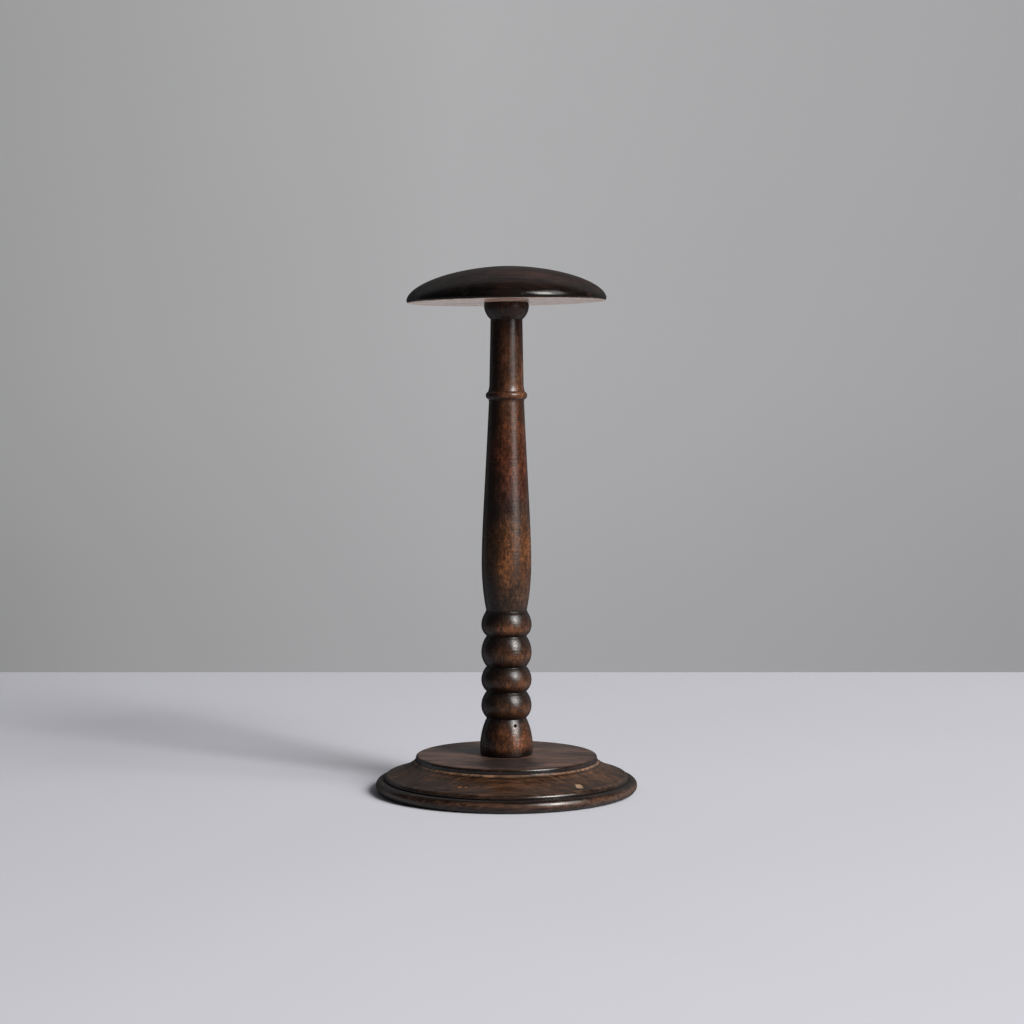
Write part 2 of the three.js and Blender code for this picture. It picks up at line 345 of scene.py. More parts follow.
class Effects:
    """The shader effects that several finishes share, each a node group that is built once."""

    NUMBER = "NodeSocketFloat"
    PLACE = "NodeSocketVector"

    # The wood's rings, fibres and pores
    WANDER_ALONG = (1.0, 1.0, 0.22)
    WANDER = {"Scale": 22.0, "Detail": 2.0}
    RING_RISE = 2.6
    RING_EDGE = (0.9, 1.0, 1.0, 0.0)
    FIBRES = Cloud(1.0, 0.28, 0.72, detail=4.0, roughness=0.62)
    PORES = Cloud(1.0, 0.56, 0.68, detail=1.0, roughness=0.4, stretch=(0.85, 0.85, 4.0))
    FIGURE = Cloud(70.0, 0.3, 0.7, roughness=0.6, stretch=(1.0, 1.0, 0.3))
    FLECKS = Cloud(400.0, 0.34, 0.7, detail=4.0, roughness=0.65, distortion=0.6, stretch=(1.0, 1.0, 1.2))

    # Rubbing and glaze: what draws them, and over which range each comes in
    PATCHES = (5.0, 0.66, 0.3)
    CROWN_PULL = 0.45
    PATCH_PULL = 1.3
    RUB_LEVEL = 1.35
    RUBBED = (-0.12, 0.3)
    SHARP = (0.25, 0.9)
    SHARP_PATCHES = (0.36, 0.62)
    GROOVE = (0.12, 0.75)
    HOLLOW = (0.25, 1.2, 0.0, 0.7)
    GLAZE_PATCHES = (0.2, 0.7, 1.0, 0.72)

    # Specks: the solid share of a dot, and which cells have one
    DOT_CORE = 0.45
    DOTS_KEPT = (0.5, 0.62)

    # Smudges and hairline scratches
    SMUDGES = Cloud(1.0, 0.3, 0.7, detail=4.0, roughness=0.6, distortion=0.6)
    SCRATCH_TILT = (0.5, 0.9, 0.35)
    SCRATCH_SHAPE = (900.0, 900.0, 35.0)
    SCRATCHES = Cloud(1.0, 0.7, 0.76, detail=1.0, roughness=0.3)

    def __init__(self) -> None:
        """Builds the groups."""
        self.timber = self._timber()
        self.wear = self._wear()
        self.specks = self._specks()
        self.handling = self._handling()

    def _timber(self) -> bpy.types.NodeTree:
        """Wood whose fibres run along Z: growth rings, fibres, pores, a broad figure and light flecks.

        Returns:
            The group.
        """
        plan = SocketPlan(
            [("Vector", self.PLACE, None), ("Ring spacing", self.NUMBER, 0.004),
             ("Wander", self.NUMBER, 0.006), ("Fibre width", self.NUMBER, 0.0006),
             ("Fibre length", self.NUMBER, 0.02)],
            [(name, self.NUMBER) for name in ("Rings", "Fibres", "Pores", "Figure", "Flecks")])
        wiring, given, result = group_tree("timber", "ShaderNodeTree", plan)
        place = given.outputs["Vector"]
        along = wiring.vector("MULTIPLY", place, self.WANDER_ALONG)
        sway = wiring.node("ShaderNodeTexNoise", {"Vector": along, **self.WANDER})
        shift = wiring.vector("SUBTRACT", sway.outputs["Color"], (0.5, 0.5, 0.5))
        bent = wiring.vector("ADD", place, wiring.scaled(shift, given.outputs["Wander"]))
        flat = wiring.vector("MULTIPLY", bent, (1.0, 1.0, 0.0))
        turns = wiring.math("DIVIDE", wiring.vector("LENGTH", flat), given.outputs["Ring spacing"])
        saw = wiring.math("FRACT", turns)
        rings = wiring.math("MULTIPLY", wiring.math("POWER", saw, self.RING_RISE),
                            wiring.fade(saw, *self.RING_EDGE))
        wiring.feed(result.inputs["Rings"], rings)

        width, length = given.outputs["Fibre width"], given.outputs["Fibre length"]
        grain = wiring.node("ShaderNodeCombineXYZ", {"X": width, "Y": width, "Z": length})
        fine = wiring.vector("DIVIDE", bent, grain.outputs[0])
        for name, cloud, point in (("Fibres", self.FIBRES, fine), ("Pores", self.PORES, fine),
                                   ("Figure", self.FIGURE, bent), ("Flecks", self.FLECKS, bent)):
            wiring.feed(result.inputs[name], cloud.lay(wiring, point))
        return wiring.tree

    def _wear(self) -> bpy.types.NodeTree:
        """Where stain is rubbed off crowns and edges, and where glaze has gathered in hollows.

        Returns:
            The group.
        """
        plan = SocketPlan(
            [("Vector", self.PLACE, None), ("Fine relief", self.NUMBER, 0.0),
             ("Broad relief", self.NUMBER, 0.0), ("Patch size", self.NUMBER, 0.012),
             ("Rub", self.NUMBER, 0.5), ("Glaze", self.NUMBER, 0.5)],
            [(name, self.NUMBER) for name in ("Rubbed", "Worn edge", "Glazed")])
        wiring, given, result = group_tree("rubbing and glaze", "ShaderNodeTree", plan)
        patch_scale = wiring.math("DIVIDE", 1.0, given.outputs["Patch size"])
        patches = wiring.noise(given.outputs["Vector"], patch_scale, *self.PATCHES)
        fine, broad = given.outputs["Fine relief"], given.outputs["Broad relief"]
        crown = wiring.math("MAXIMUM", broad, 0.0)
        high = wiring.math("MULTIPLY_ADD", crown, self.CROWN_PULL,
                           wiring.math("MULTIPLY", patches, self.PATCH_PULL))
        over = wiring.math("SUBTRACT", high, wiring.math("SUBTRACT", self.RUB_LEVEL, given.outputs["Rub"]))
        sharp = wiring.math("MULTIPLY", wiring.fade(fine, *self.SHARP),
                            wiring.fade(patches, *self.SHARP_PATCHES))
        groove = wiring.fade(wiring.math("MULTIPLY", fine, -1.0), *self.GROOVE)
        hollow = wiring.fade(wiring.math("MULTIPLY", broad, -1.0), *self.HOLLOW)
        deep = wiring.math("MULTIPLY", wiring.math("MAXIMUM", groove, hollow),
                           wiring.fade(patches, *self.GLAZE_PATCHES))
        for name, level in (("Rubbed", wiring.fade(over, *self.RUBBED)),
                            ("Worn edge", wiring.math("MULTIPLY", sharp, given.outputs["Rub"], clamp=True)),
                            ("Glazed", wiring.math("MULTIPLY", deep, given.outputs["Glaze"], clamp=True))):
            wiring.feed(result.inputs[name], level)
        return wiring.tree

    def _specks(self) -> bpy.types.NodeTree:
        """Small scattered dots, from 0 to 1.

        Returns:
            The group.
        """
        plan = SocketPlan([("Vector", self.PLACE, None), ("Spacing", self.NUMBER, 0.004),
                           ("Size", self.NUMBER, 0.12)], [("Dots", self.NUMBER)])
        wiring, given, result = group_tree("specks", "ShaderNodeTree", plan)
        scale, size = wiring.math("DIVIDE", 1.0, given.outputs["Spacing"]), given.outputs["Size"]
        cells = wiring.node("ShaderNodeTexVoronoi", {"Vector": given.outputs["Vector"], "Scale": scale,
                                                     "Randomness": 1.0})
        near = wiring.fade(cells.outputs["Distance"], wiring.math("MULTIPLY", size, self.DOT_CORE), size,
                           1.0, 0.0)
        kept = wiring.fade(cells.outputs["Color"], *self.DOTS_KEPT)
        wiring.feed(result.inputs["Dots"], wiring.math("MULTIPLY", near, kept))
        return wiring.tree

    def _handling(self) -> bpy.types.NodeTree:
        """Smudges and hairline scratches that change how a surface shines.

        Returns:
            The group.
        """
        plan = SocketPlan([("Vector", self.PLACE, None), ("Smudge size", self.NUMBER, 0.03)],
                          [("Smudge", self.NUMBER), ("Scratches", self.NUMBER)])
        wiring, given, result = group_tree("handling", "ShaderNodeTree", plan)
        place = given.outputs["Vector"]
        scale = wiring.math("DIVIDE", 1.0, given.outputs["Smudge size"])
        wiring.feed(result.inputs["Smudge"], self.SMUDGES.lay(wiring, place, scale))
        tilted = wiring.node("ShaderNodeMapping", {"Vector": place, "Rotation": self.SCRATCH_TILT,
                                                   "Scale": self.SCRATCH_SHAPE})
        wiring.feed(result.inputs["Scratches"], self.SCRATCHES.lay(wiring, tilted.outputs[0]))
        return wiring.tree

    def place(self, wiring: Wiring, group: bpy.types.NodeTree, inputs: dict) -> bpy.types.Node:
        """Puts one of the groups into a material."""
        return wiring.node("ShaderNodeGroup", inputs, node_tree=group)


class Outline:
    """An outline in the half plane beside the axis.

    Each point is its distance from the axis and its height. A corner that turns by less than the
    straightest angle stays as it is, and easing takes up at most a share of each side.
    """

    STRAIGHTEST = math.radians(20)
    SIDE_SHARE = 0.42
    EASED_AT = (0.0, 0.25, 0.5, 0.75, 1.0)
    SHORTEST = 1e-6

    def __init__(self, radius: float, height: float) -> None:
        """Starts at a point."""
        self.points: list[Vector] = [Vector((radius, height))]

    def line(self, radius: float, height: float) -> "Outline":
        """Straight on to a point."""
        self.points.append(Vector((radius, height)))
        return self

    def arc(self, radius: float, height: float, rise: float, steps: int) -> "Outline":
        """A circular arc to a point.

        Args:
            radius, height: Where the arc ends.
            rise: How far its middle stands off the chord, outwards on a climbing outline.
            steps: How many straight pieces it is drawn in.

        Returns:
            The outline itself.
        """
        start, end = self.points[-1].copy(), Vector((radius, height))
        chord = end - start
        half = chord.length / 2
        swing = 2 * math.atan(rise / half)
        outward = Vector((chord.y, -chord.x)).normalized()
        bend = half / math.sin(swing)
        centre = (start + end) / 2 - outward * bend * math.cos(swing)
        arm = start - centre
        for step in range(1, steps):
            turn = 2 * swing * step / steps
            c, s = math.cos(turn), math.sin(turn)
            self.points.append(centre + Vector((c * arm.x - s * arm.y, s * arm.x + c * arm.y)))
        return self.line(radius, height)

    def swell(self, crown: tuple[float, float], end: tuple[float, float], steps: int) -> "Outline":
        """Out to a crown, where the outline stands upright, and in again, by two arcs.

        Args:
            crown: The crown's distance from the axis and its height.
            end: Where the second arc ends.
            steps: How many straight pieces each arc is drawn in.

        Returns:
            The outline itself.
        """
        for radius, height in (crown, end):
            start = self.points[-1]
            depth, reach = abs(radius - start.x), height - start.y
            chord = math.hypot(depth, reach)
            bend = chord**2 / (2 * depth)
            self.arc(radius, height, bend * (1 - reach / chord), steps)
        return self

    def curve(self, first: tuple[float, float], last: tuple[float, float], end: tuple[float, float],
              steps: int) -> "Outline":
        """A cubic curve to a point, drawn out by a handle at each end.

        Args:
            first: The handle at the start.
            last: The handle at the end.
            end: Where the curve ends.
            steps: How many straight pieces it is drawn in.

        Returns:
            The outline itself.
        """
        start = self.points[-1].copy()
        a, b, c = Vector(first), Vector(last), Vector(end)
        for step in range(1, steps + 1):
            t = step / steps
            u = 1 - t
            self.points.append(u**3 * start + 3 * u * u * t * a + 3 * u * t * t * b + t**3 * c)
        return self

    def softened(self, radius: float) -> list[Vector]:
        """The points with each corner eased, as a turner eases an edge with sandpaper.

        Args:
            radius: How far back from a corner the easing starts.

        Returns:
            The eased points.
        """
        eased = [self.points[0]]
        for before, corner, after in zip(self.points, self.points[1:], self.points[2:]):
            back, on = before - corner, after - corner
            if min(back.length, on.length) < self.SHORTEST:
                continue
            if math.pi - back.angle(on) < self.STRAIGHTEST:
                eased.append(corner)
                continue
            reach = min(radius, self.SIDE_SHARE * back.length, self.SIDE_SHARE * on.length)
            start, end = corner + back.normalized() * reach, corner + on.normalized() * reach
            for t in self.EASED_AT:
                eased.append((1 - t) ** 2 * start + 2 * t * (1 - t) * corner + t * t * end)
        eased.append(self.points[-1])
        return eased

    def section(self, easing: float, spacing: float) -> "Section":
        """The eased outline, cut into short even steps and with its relief worked out.

        Args:
            easing: How far back from a corner its easing starts.
            spacing: The longest step between points.

        Returns:
            The closely spaced points.
        """
        points: list[Vector] = []
        eased = self.softened(easing)
        for start, end in zip(eased, eased[1:]):
            cuts = max(1, math.ceil((end - start).length / spacing))
            points += [start.lerp(end, cut / cuts) for cut in range(cuts)]
        points.append(eased[-1])
        return Section(points)


@dataclass
class Section:
    """Closely spaced points of an outline, with how far each stands proud of its neighbourhood.

    Relief is worked out twice, fine and broad, and each has a name, a reach and a full height.
    """

    points: list[Vector]

    RELIEF = (("fine_relief", 1.3, 0.3), ("broad_relief", 5.0, 0.6))
    HEIGHT = "turned_height"

    def relief(self, reach: float, full: float) -> list[float]:
        """How proud each point is.

        Args:
            reach: How far along the outline, each way, counts as a point's neighbourhood.
            full: The height, against the middle of that stretch, which counts as 1.

        Returns:
            For each point 0 on a flat, up to 1 on a crown or an edge, and down to -1 in a hollow.
        """
        lengths = [0.0]
        for start, end in zip(self.points, self.points[1:]):
            lengths.append(lengths[-1] + (end - start).length)
        found = []
        for at, point in enumerate(self.points):
            total, weight, low, high = Vector((0, 0)), 0.0, at, at
            while low > 0 and lengths[at] - lengths[low - 1] < reach:
                low -= 1
            while high < len(lengths) - 1 and lengths[high + 1] - lengths[at] < reach:
                high += 1
            for start in range(low, high):
                span = lengths[start + 1] - lengths[start]
                total += (self.points[start] + self.points[start + 1]) / 2 * span
                weight += span
            along = self.points[high] - self.points[low]
            if weight == 0.0 or along.length < Outline.SHORTEST:
                found.append(0.0)
                continue
            outward = Vector((along.y, -along.x)).normalized()
            found.append(max(-1.0, min(1.0, (point - total / weight).dot(outward) / full)))
        return found

    def mesh(self, name: str) -> bpy.types.Mesh:
        """The points as a thread of edges in the XZ plane, in metres, with their relief as attributes.

        Args:
            name: The mesh's name.

        Returns:
            The mesh.
        """
        made = bpy.data.meshes.new(name)
        points = [(point.x * MM, 0.0, point.y * MM) for point in self.points]
        made.from_pydata(points, [(at, at + 1) for at in range(len(points) - 1)], [])
        levels = {kind: self.relief(reach, full) for kind, reach, full in self.RELIEF}
        levels[self.HEIGHT] = [point.y for point in self.points]
        for kind, values in levels.items():
            made.attributes.new(kind, "FLOAT", "POINT").data.foreach_set("value", values)
        return made


class Lathe:
    """Sweeps a section round the axis with a tree of geometry nodes."""

    ATTRIBUTES = (*(kind for kind, _, _ in Section.RELIEF), Section.HEIGHT)

    def __init__(self) -> None:
        """Builds the tree."""
        plan = SocketPlan([("Section", "NodeSocketGeometry", None), ("Segments", "NodeSocketInt", 96),
                           ("Finish", "NodeSocketMaterial", None)], [("Turned", "NodeSocketGeometry")])
        self.tree = self._build(*group_tree("turned round the axis", "GeometryNodeTree", plan))

    def _build(self, wiring: Wiring, given: bpy.types.Node, result: bpy.types.Node) -> bpy.types.NodeTree:
        """A grid whose rows follow the section and whose columns go round, closed by a merge.

        Args:
            wiring: The tree's wiring.
            given, result: Its input and output nodes.

        Returns:
            The tree.
        """
        section, segments = given.outputs["Section"], given.outputs["Segments"]
        count = wiring.node("GeometryNodeAttributeDomainSize", {"Geometry": section}).outputs["Point Count"]
        columns = wiring.math("ADD", segments, 1.0)
        grid = wiring.node("GeometryNodeMeshGrid", {"Vertices X": count, "Vertices Y": columns})
        index = wiring.node("GeometryNodeInputIndex").outputs[0]
        row = wiring.math("FLOOR", wiring.math("DIVIDE", wiring.math("ADD", index, 0.5), columns))
        column = wiring.math("SUBTRACT", index, wiring.math("MULTIPLY", row, columns))
        place = wiring.node("GeometryNodeInputPosition").outputs[0]
        point = self._sampled(wiring, section, place, row, "FLOAT_VECTOR")
        parts = wiring.node("ShaderNodeSeparateXYZ", {0: point})
        angle = wiring.math("MULTIPLY", wiring.math("DIVIDE", column, segments), math.tau)
        swept = wiring.node("ShaderNodeCombineXYZ", {
            "X": wiring.math("MULTIPLY", parts.outputs["X"], wiring.math("COSINE", angle)),
            "Y": wiring.math("MULTIPLY", parts.outputs["X"], wiring.math("SINE", angle)),
            "Z": parts.outputs["Z"]})
        shaped = wiring.node("GeometryNodeSetPosition", {"Geometry": grid.outputs["Mesh"],
                                                         "Position": swept.outputs[0]}).outputs[0]
        for name in self.ATTRIBUTES:
            value = wiring.node("GeometryNodeInputNamedAttribute", {"Name": name}, data_type="FLOAT")
            level = self._sampled(wiring, section, value.outputs["Attribute"], row, "FLOAT")
            stored = wiring.node("GeometryNodeStoreNamedAttribute", data_type="FLOAT", domain="POINT")
            for socket, fed in (("Geometry", shaped), ("Name", name), ("Value", level)):
                wiring.feed(stored.inputs[socket], fed)
            shaped = stored.outputs[0]
        closed = wiring.node("GeometryNodeMergeByDistance", {"Geometry": shaped, "Distance": SEAM_GAP})
        real = wiring.node("GeometryNodeRealizeInstances", {"Geometry": closed.outputs[0]})
        dressed = wiring.node("GeometryNodeSetMaterial", {"Geometry": real.outputs[0],
                                                          "Material": given.outputs["Finish"]})
        wiring.feed(result.inputs["Turned"], dressed.outputs[0])
        return wiring.tree

    def _sampled(self, wiring: Wiring, section: Socket, value: Socket, row: Socket, kind: str) -> Socket:
        """A value read off the section at the point that a row of the grid follows.

        Args:
            wiring: The tree's wiring.
            section: The section's geometry.
            value: What is read.
            row: The row's number.
            kind: Blender's name for the kind of value.

        Returns:
            The value.
        """
        made = wiring.node("GeometryNodeSampleIndex", data_type=kind, domain="POINT")
        for socket, fed in (("Geometry", section), ("Value", value), ("Index", row)):
            wiring.feed(made.inputs[socket], fed)
        return made.outputs["Value"]

    def turn(self, name: str, section: Section, segments: int,
             finish: bpy.types.Material) -> bpy.types.Object:
        """Makes a turned piece.

        Args:
            name: The piece's name.
            section: What is swept.
            segments: How many steps it takes round the axis.
            finish: Its material.

        Returns:
            The piece, a plain closed mesh with smooth outward faces.
        """
        return baked(in_scene(name, section.mesh(name)), self.tree,
                     {"Segments": segments, "Finish": finish})


def baked(piece: bpy.types.Object, tree: bpy.types.NodeTree, inputs: dict) -> bpy.types.Object:
    """Runs a tree of geometry nodes on an object and keeps the result as its plain mesh.

    Args:
        piece: The object, whose own mesh goes into the tree.
        tree: The tree.
        inputs: Values for the tree's named inputs.

    Returns:
        The same object.
    """
    modifier = piece.modifiers.new("made", "NODES")
    modifier.node_group = tree
    for item in tree.interface.items_tree:
        if item.item_type == "SOCKET" and item.in_out == "INPUT" and item.name in inputs:
            modifier[item.identifier] = inputs[item.name]
    depsgraph = bpy.context.evaluated_depsgraph_get()
    seen = piece.evaluated_get(depsgraph)
    mesh = bpy.data.meshes.new_from_object(seen, preserve_all_data_layers=True, depsgraph=depsgraph)
    piece.modifiers.clear()
    piece.data = mesh
    mesh.name = piece.name
    faces_outward(mesh)
    return piece


def faces_outward(mesh: bpy.types.Mesh) -> None:
    """Merges doubled points, turns every face outwards and shades the mesh smooth.

    Args:
        mesh: The mesh, which is changed.
    """
    work = bmesh.new()
    work.from_mesh(mesh)
    bmesh.ops.remove_doubles(work, verts=work.verts, dist=DOUBLE_GAP)
    bmesh.ops.recalc_face_normals(work, faces=work.faces)
    if work.calc_volume(signed=True) < 0:
        bmesh.ops.reverse_faces(work, faces=work.faces)
    work.to_mesh(mesh)
    work.free()
    mesh.shade_smooth()
    mesh.update()


@dataclass(frozen=True)
class Knock:
    """A small dent, chip or pinhole pressed into a turned piece.

    Angles are in degrees round the axis, from +X towards +Y. The place is a distance from the axis and
    a height. Faces are split in a few rounds, out to a little past the knock's size and down to a share
    of it, and the depth wobbles outwards and across, so that the knock isn't a perfect bowl.
    """

    angle: float
    radius: float
    height: float
    size: float
    depth: float

    SPLIT_ROUNDS = 3
    SPLIT_REACH = 1.35
    FINEST_EDGE = 0.16
    WOBBLE = 0.35
    WOBBLE_OUT = 9.0
    WOBBLE_ACROSS = 4000.0
    BOWL = 1.5

    @property
    def place(self) -> Vector:
        """The knock's middle, in metres."""
        turn = math.radians(self.angle)
        return Vector((self.radius * math.cos(turn), self.radius * math.sin(turn), self.height)) * MM

    def press(self, mesh: bpy.types.Mesh) -> None:
        """Splits the faces round the knock finely and pushes their points in.

        Args:
            mesh: The piece's mesh, which is changed.
        """
        work = bmesh.new()
        work.from_mesh(mesh)
        middle, reach = self.place, self.size * MM
        for _ in range(self.SPLIT_ROUNDS):
            near = [edge for edge in work.edges
                    if min((vert.co - middle).length for vert in edge.verts) < self.SPLIT_REACH * reach
                    and edge.calc_length() > self.FINEST_EDGE * reach]
            if not near:
                break
            bmesh.ops.subdivide_edges(work, edges=near, cuts=1, use_grid_fill=True)
        work.normal_update()
        moves = []
        for vert in work.verts:
            away = (vert.co - middle).length / reach
            if away < 1.0:
                wave = math.sin(self.WOBBLE_OUT * away + self.WOBBLE_ACROSS * vert.co.x)
                depth = self.depth * MM * (1 - away * away) ** self.BOWL * (1.0 + self.WOBBLE * wave)
                moves.append((vert, vert.normal * depth))
        for vert, move in moves:
            vert.co -= move
        bmesh.ops.triangulate(work, faces=[face for face in work.faces if len(face.verts) > 4])
        work.to_mesh(mesh)
        work.free()
        mesh.shade_smooth()
        mesh.update()


class Grain(Enum):
    """Which way a piece's fibres run, as the turn that lays the pattern's Z axis along them."""

    UPRIGHT = (0.0, 0.0, 0.0)
    ALONG_X = (0.0, -math.pi / 2, 0.10)


@dataclass(frozen=True)
class Mark:
    """A patch of another colour round a place on a piece, solid inside and ragged at its edge."""

    knock: Knock
    colour: Colour
    strength: float = 1.0

    RAGGED = 0.7
    RAGGED_SCALE = 3.0
    RAGGED_DETAIL = 2.0
    SOLID = 0.75
    GONE = 1.1


@dataclass(frozen=True)
class Tone:
    """The stain's colour at a height in millimetres, and how far rubbing can show there."""

    height: float
    colour: Colour
    rub: float = 1.0


@dataclass(frozen=True)
class WoodFinish:
    """Stained wood under a satin lacquer, with glaze in its hollows and its crowns rubbed.

    The tones run from the foot of the piece to its top. Sway is how far they wander, in millimetres.
    Lit side is the angle round the axis, in degrees, of the side that faces the light, and painted side
    shade is how much darker the far side is painted, as shade, where it is also rubbed a little less.
    Streak is how much longer a worn patch is along the grain. Heart is where the middle of the growth
    rings lies, in metres, seen along the fibres. Fleck is how strongly light flecks cross the grain,
    contrast how strongly its fibres show, banding how strongly colour runs round the turned faces, and
    matt rim how much duller the lacquer looks at a grazing angle.
    Above flat from, in millimetres, what lies flat is duller by flat rough instead. The underside,
    where faces look down, has its own thinner stain; on the head its pale colour is partly paler bare
    wood and partly a painted reflection of the table seen at a grazing angle. Patches, rings and fibres
    are measured in metres.
    """

    name: str
    grain: Grain
    tones: tuple[Tone, ...]
    rubbed: Colour
    worn: Colour
    glaze_colour: Colour
    rub: float
    glaze: float
    patch: float
    heart: tuple[float, float, float]
    ring_spacing: float
    ring_depth: float
    fibre_width: float
    fibre_length: float
    roughness: float
    specular: float = 0.5
    sway: float = 5.0
    # The side that faces the light, in degrees round the axis, and how much darker the far side is painted,
    # as shade
    lit_side: float = -56.0
    painted_side_shade: float = 0.0
    streak: float = 2.0
    lathe_marks: float = 0.3
    banding: float = 0.0
    fleck: float = 0.0
    contrast: float = 0.6
    cloudiness: float = 0.4
    relief: float = 0.5
    matt_rim: float = 0.35
    flat_rough: float = 0.0
    flat_from: float = 400.0
    underside: Colour = (60, 42, 30)
    marks: tuple[Mark, ...] = ()

    # What mottles the stain
    CLOUDS = (55.0, 4.0, 0.62, 0.4)
    PATCHES = Cloud(90.0, 0.32, 0.68, detail=5.0, roughness=0.68, floor=0.50, ceiling=1.46)
    EVEN_FLECK = 0.42

    # How strongly each layer of colour shows
    BARE_FIBRES = (0.8, 0.55)
    EDGE_SHOWS = 0.8
    PORES_SHOW = 0.62
    SPECKS_SHOW = 0.3

    # The ragged edge between the side facing the light and the far side, which is painted darker as shade,
    # and how much less the far side is rubbed
    SIDE_NOISE = (75.0, 4.0, 0.65)
    SIDE_RAGGED = 0.9
    SIDE_RANGE = (0.88, 1.42)
    SIDE_RUB = 0.6

    # The lacquer, and what each mark adds to its roughness
    LACQUER_IOR = 1.5
    SMUDGE_DULL = 0.10
    RUBBED_DULL = 0.05
    PORE_DULL = 0.10
    SCRATCH_DULL = 0.08

    # Where faces look down, lie flat or turn away from the camera
    BENEATH = (-0.92, -0.7, 1.0, 0.0)
    UPWARD = (0.985, 0.995)
    FLAT_EDGE = 0.5
    GRAZING = (0.35, 0.85)

    # The shares of the fine relief, the rings that the lathe left to a millimetre, and the full height
    FIBRE_HEIGHT = 0.30
    PORE_HEIGHT = -0.25
    WAVES = (420.0, 2.0, 0.5)
    WAVE_HEIGHT = 0.45
    LATHE_RINGS = 0.8
    LATHE_NOISE = {"Scale": 1.0, "Detail": 2.0}
    BUMP_HEIGHT = 0.00012

    def material(self, effects: Effects) -> bpy.types.Material:
        """Builds the material.

        Args:
            effects: The shared effect groups.

        Returns:
            The finished material.
        """
        made, wiring, place = started(self.name)
        laid = wiring.node("ShaderNodeMapping", {"Vector": place, "Location": self.heart,
                                                 "Rotation": self.grain.value}).outputs[0]
        timber = effects.place(wiring, effects.timber, {
            "Vector": laid, "Ring spacing": self.ring_spacing, "Fibre width": self.fibre_width,
            "Fibre length": self.fibre_length})
        fine, broad, height = (wiring.node("ShaderNodeAttribute", attribute_name=name).outputs["Fac"]
                               for name in Lathe.ATTRIBUTES)
        stretched = wiring.vector("MULTIPLY", laid, (1.0, 1.0, 1.0 / self.streak))
        colour, rub = self._stain(wiring, place, stretched, height, timber)
        wear = effects.place(wiring, effects.wear, {
            "Vector": stretched, "Fine relief": fine, "Broad relief": broad, "Patch size": self.patch,
            "Rub": rub, "Glaze": self.glaze})
        dots = effects.place(wiring, effects.specks, {"Vector": place}).outputs["Dots"]
        handling = effects.place(wiring, effects.handling, {"Vector": place})
        fibres, pores = timber.outputs["Fibres"], timber.outputs["Pores"]
        turned = wiring.node("ShaderNodeTexNoise", {
            "W": wiring.math("MULTIPLY", height, self.LATHE_RINGS), **self.LATHE_NOISE},
            noise_dimensions="1D").outputs["Fac"]

        strokes = wiring.math("MULTIPLY", wiring.swing(fibres, self.contrast),
                              wiring.swing(turned, self.banding))
        bare = wiring.scaled(tint(*self.rubbed), wiring.math("MULTIPLY_ADD", fibres, *self.BARE_FIBRES))
        worn, glaze = tint(*self.worn), tint(*self.glaze_colour)
        normal = wiring.node("ShaderNodeNewGeometry").outputs["Normal"]
        upward = wiring.node("ShaderNodeSeparateXYZ", {0: normal}).outputs["Z"]
        beneath = wiring.fade(upward, *self.BENEATH)
        # Where faces look down: the underside's own stain, and on the head a pale colour that also paints in
        # the table's reflection
        underside_stain_and_sheen = wiring.scaled(tint(*self.underside), strokes)
        colour = wiring.scaled(colour, strokes)
        for share, layer in ((wear.outputs["Rubbed"], bare),
                             (wiring.math("MULTIPLY", wear.outputs["Worn edge"], self.EDGE_SHOWS), worn),
                             (wiring.math("MULTIPLY", pores, self.PORES_SHOW), glaze),
                             (wear.outputs["Glazed"], glaze),
                             (wiring.math("MULTIPLY", dots, self.SPECKS_SHOW), worn), (beneath, underside_stain_and_sheen)):
            colour = wiring.blend(share, colour, layer)
        for mark in self.marks:
            colour = self._marked(wiring, place, colour, mark)

        shine = wiring.math("MULTIPLY_ADD", handling.outputs["Smudge"], self.SMUDGE_DULL,
                            self.roughness - self.SMUDGE_DULL / 2)
        for share, dull in ((wear.outputs["Rubbed"], self.RUBBED_DULL), (pores, self.PORE_DULL),
                            (handling.outputs["Scratches"], self.SCRATCH_DULL)):
            shine = wiring.math("MULTIPLY_ADD", share, dull, shine)
        grazing = wiring.node("ShaderNodeLayerWeight", {"Blend": 0.5}).outputs["Facing"]
        high = wiring.fade(height, self.flat_from, self.flat_from + self.FLAT_EDGE)
        flat = wiring.math("MULTIPLY", wiring.fade(upward, *self.UPWARD), high)
        rim = wiring.math("MULTIPLY", wiring.fade(grazing, *self.GRAZING, 0.0, self.matt_rim),
                          wiring.math("SUBTRACT", 1.0, wiring.math("MAXIMUM", beneath, flat)))
        dulled = wiring.math("MULTIPLY_ADD", flat, self.flat_rough, rim)
        shader = wiring.node("ShaderNodeBsdfPrincipled", {
            "Base Color": colour, "Roughness": wiring.math("ADD", shine, dulled, clamp=True),
            "IOR": self.LACQUER_IOR, "Specular IOR Level": self.specular,
            "Normal": self._relief(wiring, place, turned, fibres, pores)}, distribution="GGX")
        wiring.show(shader.outputs[0])
        return made

    def _relief(self, wiring: Wiring, place: Socket, turned: Socket, fibres: Socket, pores: Socket) -> Socket:
        """Fibres standing up, pores sunk, the lacquer's soft waves and the fine rings that the lathe left.

        Args:
            wiring: The material's tree.
            place: The point on the piece.
            turned: The lathe's rings.
            fibres, pores: The wood's own fibres and pores.

        Returns:
            The normal.
        """
        relief = wiring.math("MULTIPLY", fibres, self.FIBRE_HEIGHT)
        for share, stands in ((pores, self.PORE_HEIGHT), (wiring.noise(place, *self.WAVES), self.WAVE_HEIGHT),
                              (turned, self.lathe_marks)):
            relief = wiring.math("MULTIPLY_ADD", share, stands, relief)
        bump = wiring.node("ShaderNodeBump", {"Height": relief, "Strength": self.relief,
                                              "Distance": self.BUMP_HEIGHT})
        return bump.outputs[0]

